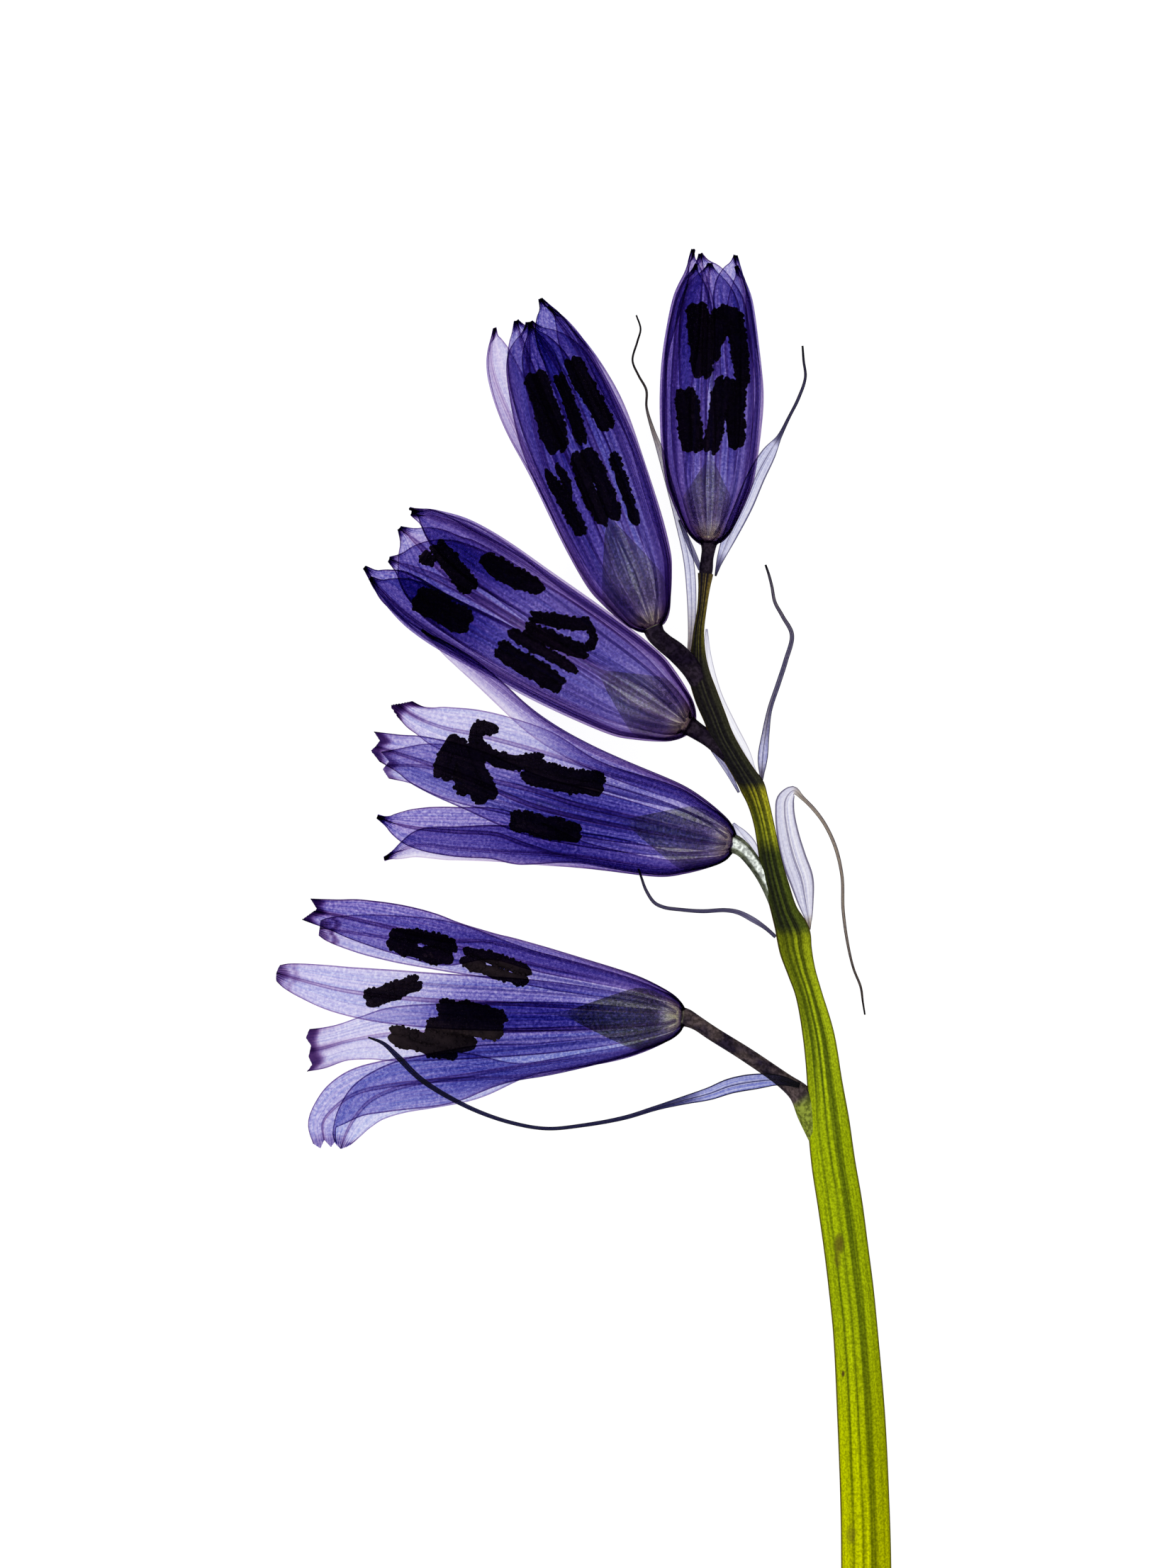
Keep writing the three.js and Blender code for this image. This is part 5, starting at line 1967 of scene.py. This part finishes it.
            Tepal(98, ((12.5, 4.2, 0), (16.0, 4.4, 4), (18.0, 4.5, 9.5), (19.25, 4.5, 14)), 1.3,
                  pigment=0.9, deep=2.2, fade=(0.48, 0.72), outline=Outline.BLUNT,
                  facing=Facing.OUTSIDE_UP, band=0.7, tip_dark=0.8, end=((-1, -0.1), (0, 0.0),
                  (1, -0.05))),
        ),
        anthers=(
            Anther(((14.1, -3.45), (12.5, -3.1), (10.9, -2.7)), 1, 1.2, 0.12),
            Anther(((10.6, -2.7), (9.0, -2.2), (7.35, -1.7)), 1, 0.95, 0.1),
            Anther(((15.1, -0.35), (13.8, -0.85), (12.5, -1.4)), -1, 0.85),
            Anther(((13.9, 1.11), (12.2, 1.6), (10.6, 1.95)), -1, 0.95),
            Anther(((11.7, 0.1), (10.2, 0.25), (8.5, 0.6)), 1, 1.45),
            Anther(((12.2, 0.9), (11.0, 1.2), (9.8, 1.25)), -1, 1.3),
        ),
    ),
)

BRACTS = (
    Bract('flower1_bract', (
        (0.32, 19.6, 2.1, 0.05), (0.52, 20.3, 1.9, 0.16), (1.05, 21.6, 1.4, 0.34),
        (1.7, 23.0, 0.95, 0.42), (2.25, 24.3, 0.8, 0.42), (2.85, 25.4, 0.8, 0.34),
        (3.35, 26.2, 0.8, 0.13), (3.8, 27.1, 0.85, 0.08), (4.25, 28.0, 0.9, 0.08),
        (4.58, 29.0, 0.9, 0.07), (4.5, 29.8, 0.85, 0.06), (4.45, 30.5, 0.8, 0.05),
    ), pigment=1.6, blue=0.45),
    Bract('flower1_bracteole', (
        (-0.4, 19.9, 2.3, 0.1), (-0.75, 20.7, 2.6, 0.14), (-1.1, 21.5, 2.9, 0.12),
        (-1.4, 22.2, 3.1, 0.06),
    ), pigment=1.5, thread_dark=1.6),
    Bract('flower2_bract', (
        (-0.95, 15.9, 2.3, 0.08), (-0.82, 17.0, 2.15, 0.16), (-0.8, 18.5, 1.95, 0.22),
        (-0.95, 20.4, 1.6, 0.24), (-1.4, 22.3, 1.15, 0.2), (-1.85, 24.0, 0.95, 0.18),
        (-2.3, 25.6, 0.9, 0.16), (-2.65, 26.6, 0.9, 0.1), (-2.92, 27.6, 0.9, 0.06),
        (-2.93, 28.4, 0.9, 0.06), (-3.3, 29.1, 0.9, 0.055), (-3.58, 29.8, 0.85, 0.05),
        (-3.35, 30.7, 0.8, 0.05), (-3.2, 31.3, 0.8, 0.045), (-3.4, 31.95, 0.7, 0.04),
    ), thread_dark=2.0, tan=0.5, pigment=1.4),
    Bract('flower2_bracteole', (
        (2.2, 10.3, 2.1, 0.08), (1.7, 11.25, 2.1, 0.26), (0.98, 12.5, 2.1, 0.34),
        (0.3, 14.0, 2.1, 0.32), (-0.05, 15.6, 2.1, 0.22), (-0.1, 17.1, 2.1, 0.05),
    ), thread_dark=0.2, pigment=0.35),
    Bract('flower3_bract', (
        (2.47, 9.9, 2.8, 0.06), (2.53, 11.0, 2.7, 0.23), (2.68, 12.2, 2.5, 0.18),
        (2.87, 13.3, 2.3, 0.13), (3.27, 14.5, 2.05, 0.125), (3.63, 15.6, 1.8, 0.12),
        (3.93, 16.85, 1.5, 0.11), (3.5, 17.7, 1.4, 0.095), (3.13, 18.4, 1.25, 0.085),
        (3.0, 19.1, 1.1, 0.075), (2.85, 19.7, 1.0, 0.065), (2.7, 20.15, 0.9, 0.05),
    ), pigment=2.9, blue=0.35, thread_dark=1.6, tan=0.35),
    Bract('flower3_bracteole', (
        (1.42, 9.4, 2.2, 0.06), (0.95, 10.3, 2.2, 0.13), (0.47, 11.0, 2.2, 0.12),
        (0.0, 11.6, 2.1, 0.05),
    ), pigment=1.6, thread_dark=0.6),
    Bract('flower4_bract', (
        (4.73, 2.95, 2.7, 0.05), (4.68, 3.5, 2.7, 0.18), (4.54, 4.3, 2.7, 0.38), (4.35, 5.3, 2.7, 0.56),
        (4.0, 6.3, 2.7, 0.57), (3.72, 7.4, 2.7, 0.51), (3.57, 8.5, 2.7, 0.44), (3.62, 9.1, 2.75, 0.4),
        (3.98, 9.5, 2.75, 0.2), (4.4, 9.15, 2.6, 0.11), (4.95, 8.6, 2.4, 0.1), (5.5, 7.85, 2.1, 0.09),
        (6.0, 6.75, 1.8, 0.09), (6.3, 5.4, 1.5, 0.08), (6.35, 3.9, 1.3, 0.08), (6.55, 2.4, 1.1, 0.07),
        (6.85, 1.1, 0.95, 0.06), (7.2, 0.2, 0.85, 0.06), (7.3, -0.5, 0.8, 0.05), (7.4, -1.1, 0.7, 0.04),
    ), thread_dark=1.2, tan=0.55, crease=0.35, pigment=1.5, blue=0.05),
    Bract('flower4_bracteole', (
        (3.15, 2.6, 2.2, 0.09), (2.7, 3.0, 2.1, 0.1), (2.1, 3.4, 1.9, 0.14), (1.4, 3.75, 1.75, 0.12),
        (0.8, 3.85, 1.6, 0.105), (-0.3, 3.8, 1.4, 0.1), (-1.3, 3.87, 1.2, 0.09),
        (-2.1, 3.98, 0.95, 0.09), (-2.55, 4.2, 0.8, 0.085), (-2.95, 4.8, 0.65, 0.075),
        (-3.15, 5.35, 0.55, 0.06), (-3.3, 5.8, 0.45, 0.05),
    )),
    Bract('flower4_membrane', (
        (2.35, 6.25, 2.2, 0.1), (2.0, 6.85, 2.2, 0.28), (1.62, 7.35, 2.2, 0.26),
        (1.15, 7.95, 2.2, 0.06),
    ), thread_dark=0.2),
    Bract('flower5_bract', (
        (4.25, -4.35, 3.3, 0.12), (3.3, -4.1, 3.55, 0.24), (2.2, -4.15, 3.75, 0.36),
        (1.0, -4.35, 4.1, 0.36), (0.0, -4.7, 4.45, 0.3), (-1.2, -5.0, 4.8, 0.2),
        (-2.5, -5.35, 5.0, 0.13), (-4.0, -5.8, 5.2, 0.11), (-6.0, -6.15, 5.5, 0.095),
        (-7.6, -6.28, 5.8, 0.09), (-9.2, -6.0, 6.3, 0.095), (-10.9, -5.4, 6.8, 0.105),
        (-12.6, -4.5, 7.3, 0.125), (-13.6, -3.8, 7.4, 0.135), (-14.5, -2.9, 7.5, 0.14),
        (-15.2, -2.25, 7.5, 0.09), (-15.9, -1.97, 7.5, 0.04),
    ), pigment=3.0, blue=0.8, thread_dark=2.6, thread_width=0.2),
)


def main() -> None:
    """Builds the plant and the studio."""
    logging.basicConfig(level=logging.INFO, format="%(name)s: %(message)s")
    shop = Workshop()
    STEM.build(shop)
    for flower in FLOWERS:
        flower.build(shop)
    for bract in BRACTS:
        bract.build(shop)
    Studio().build()


if __name__ == "__main__":
    main()
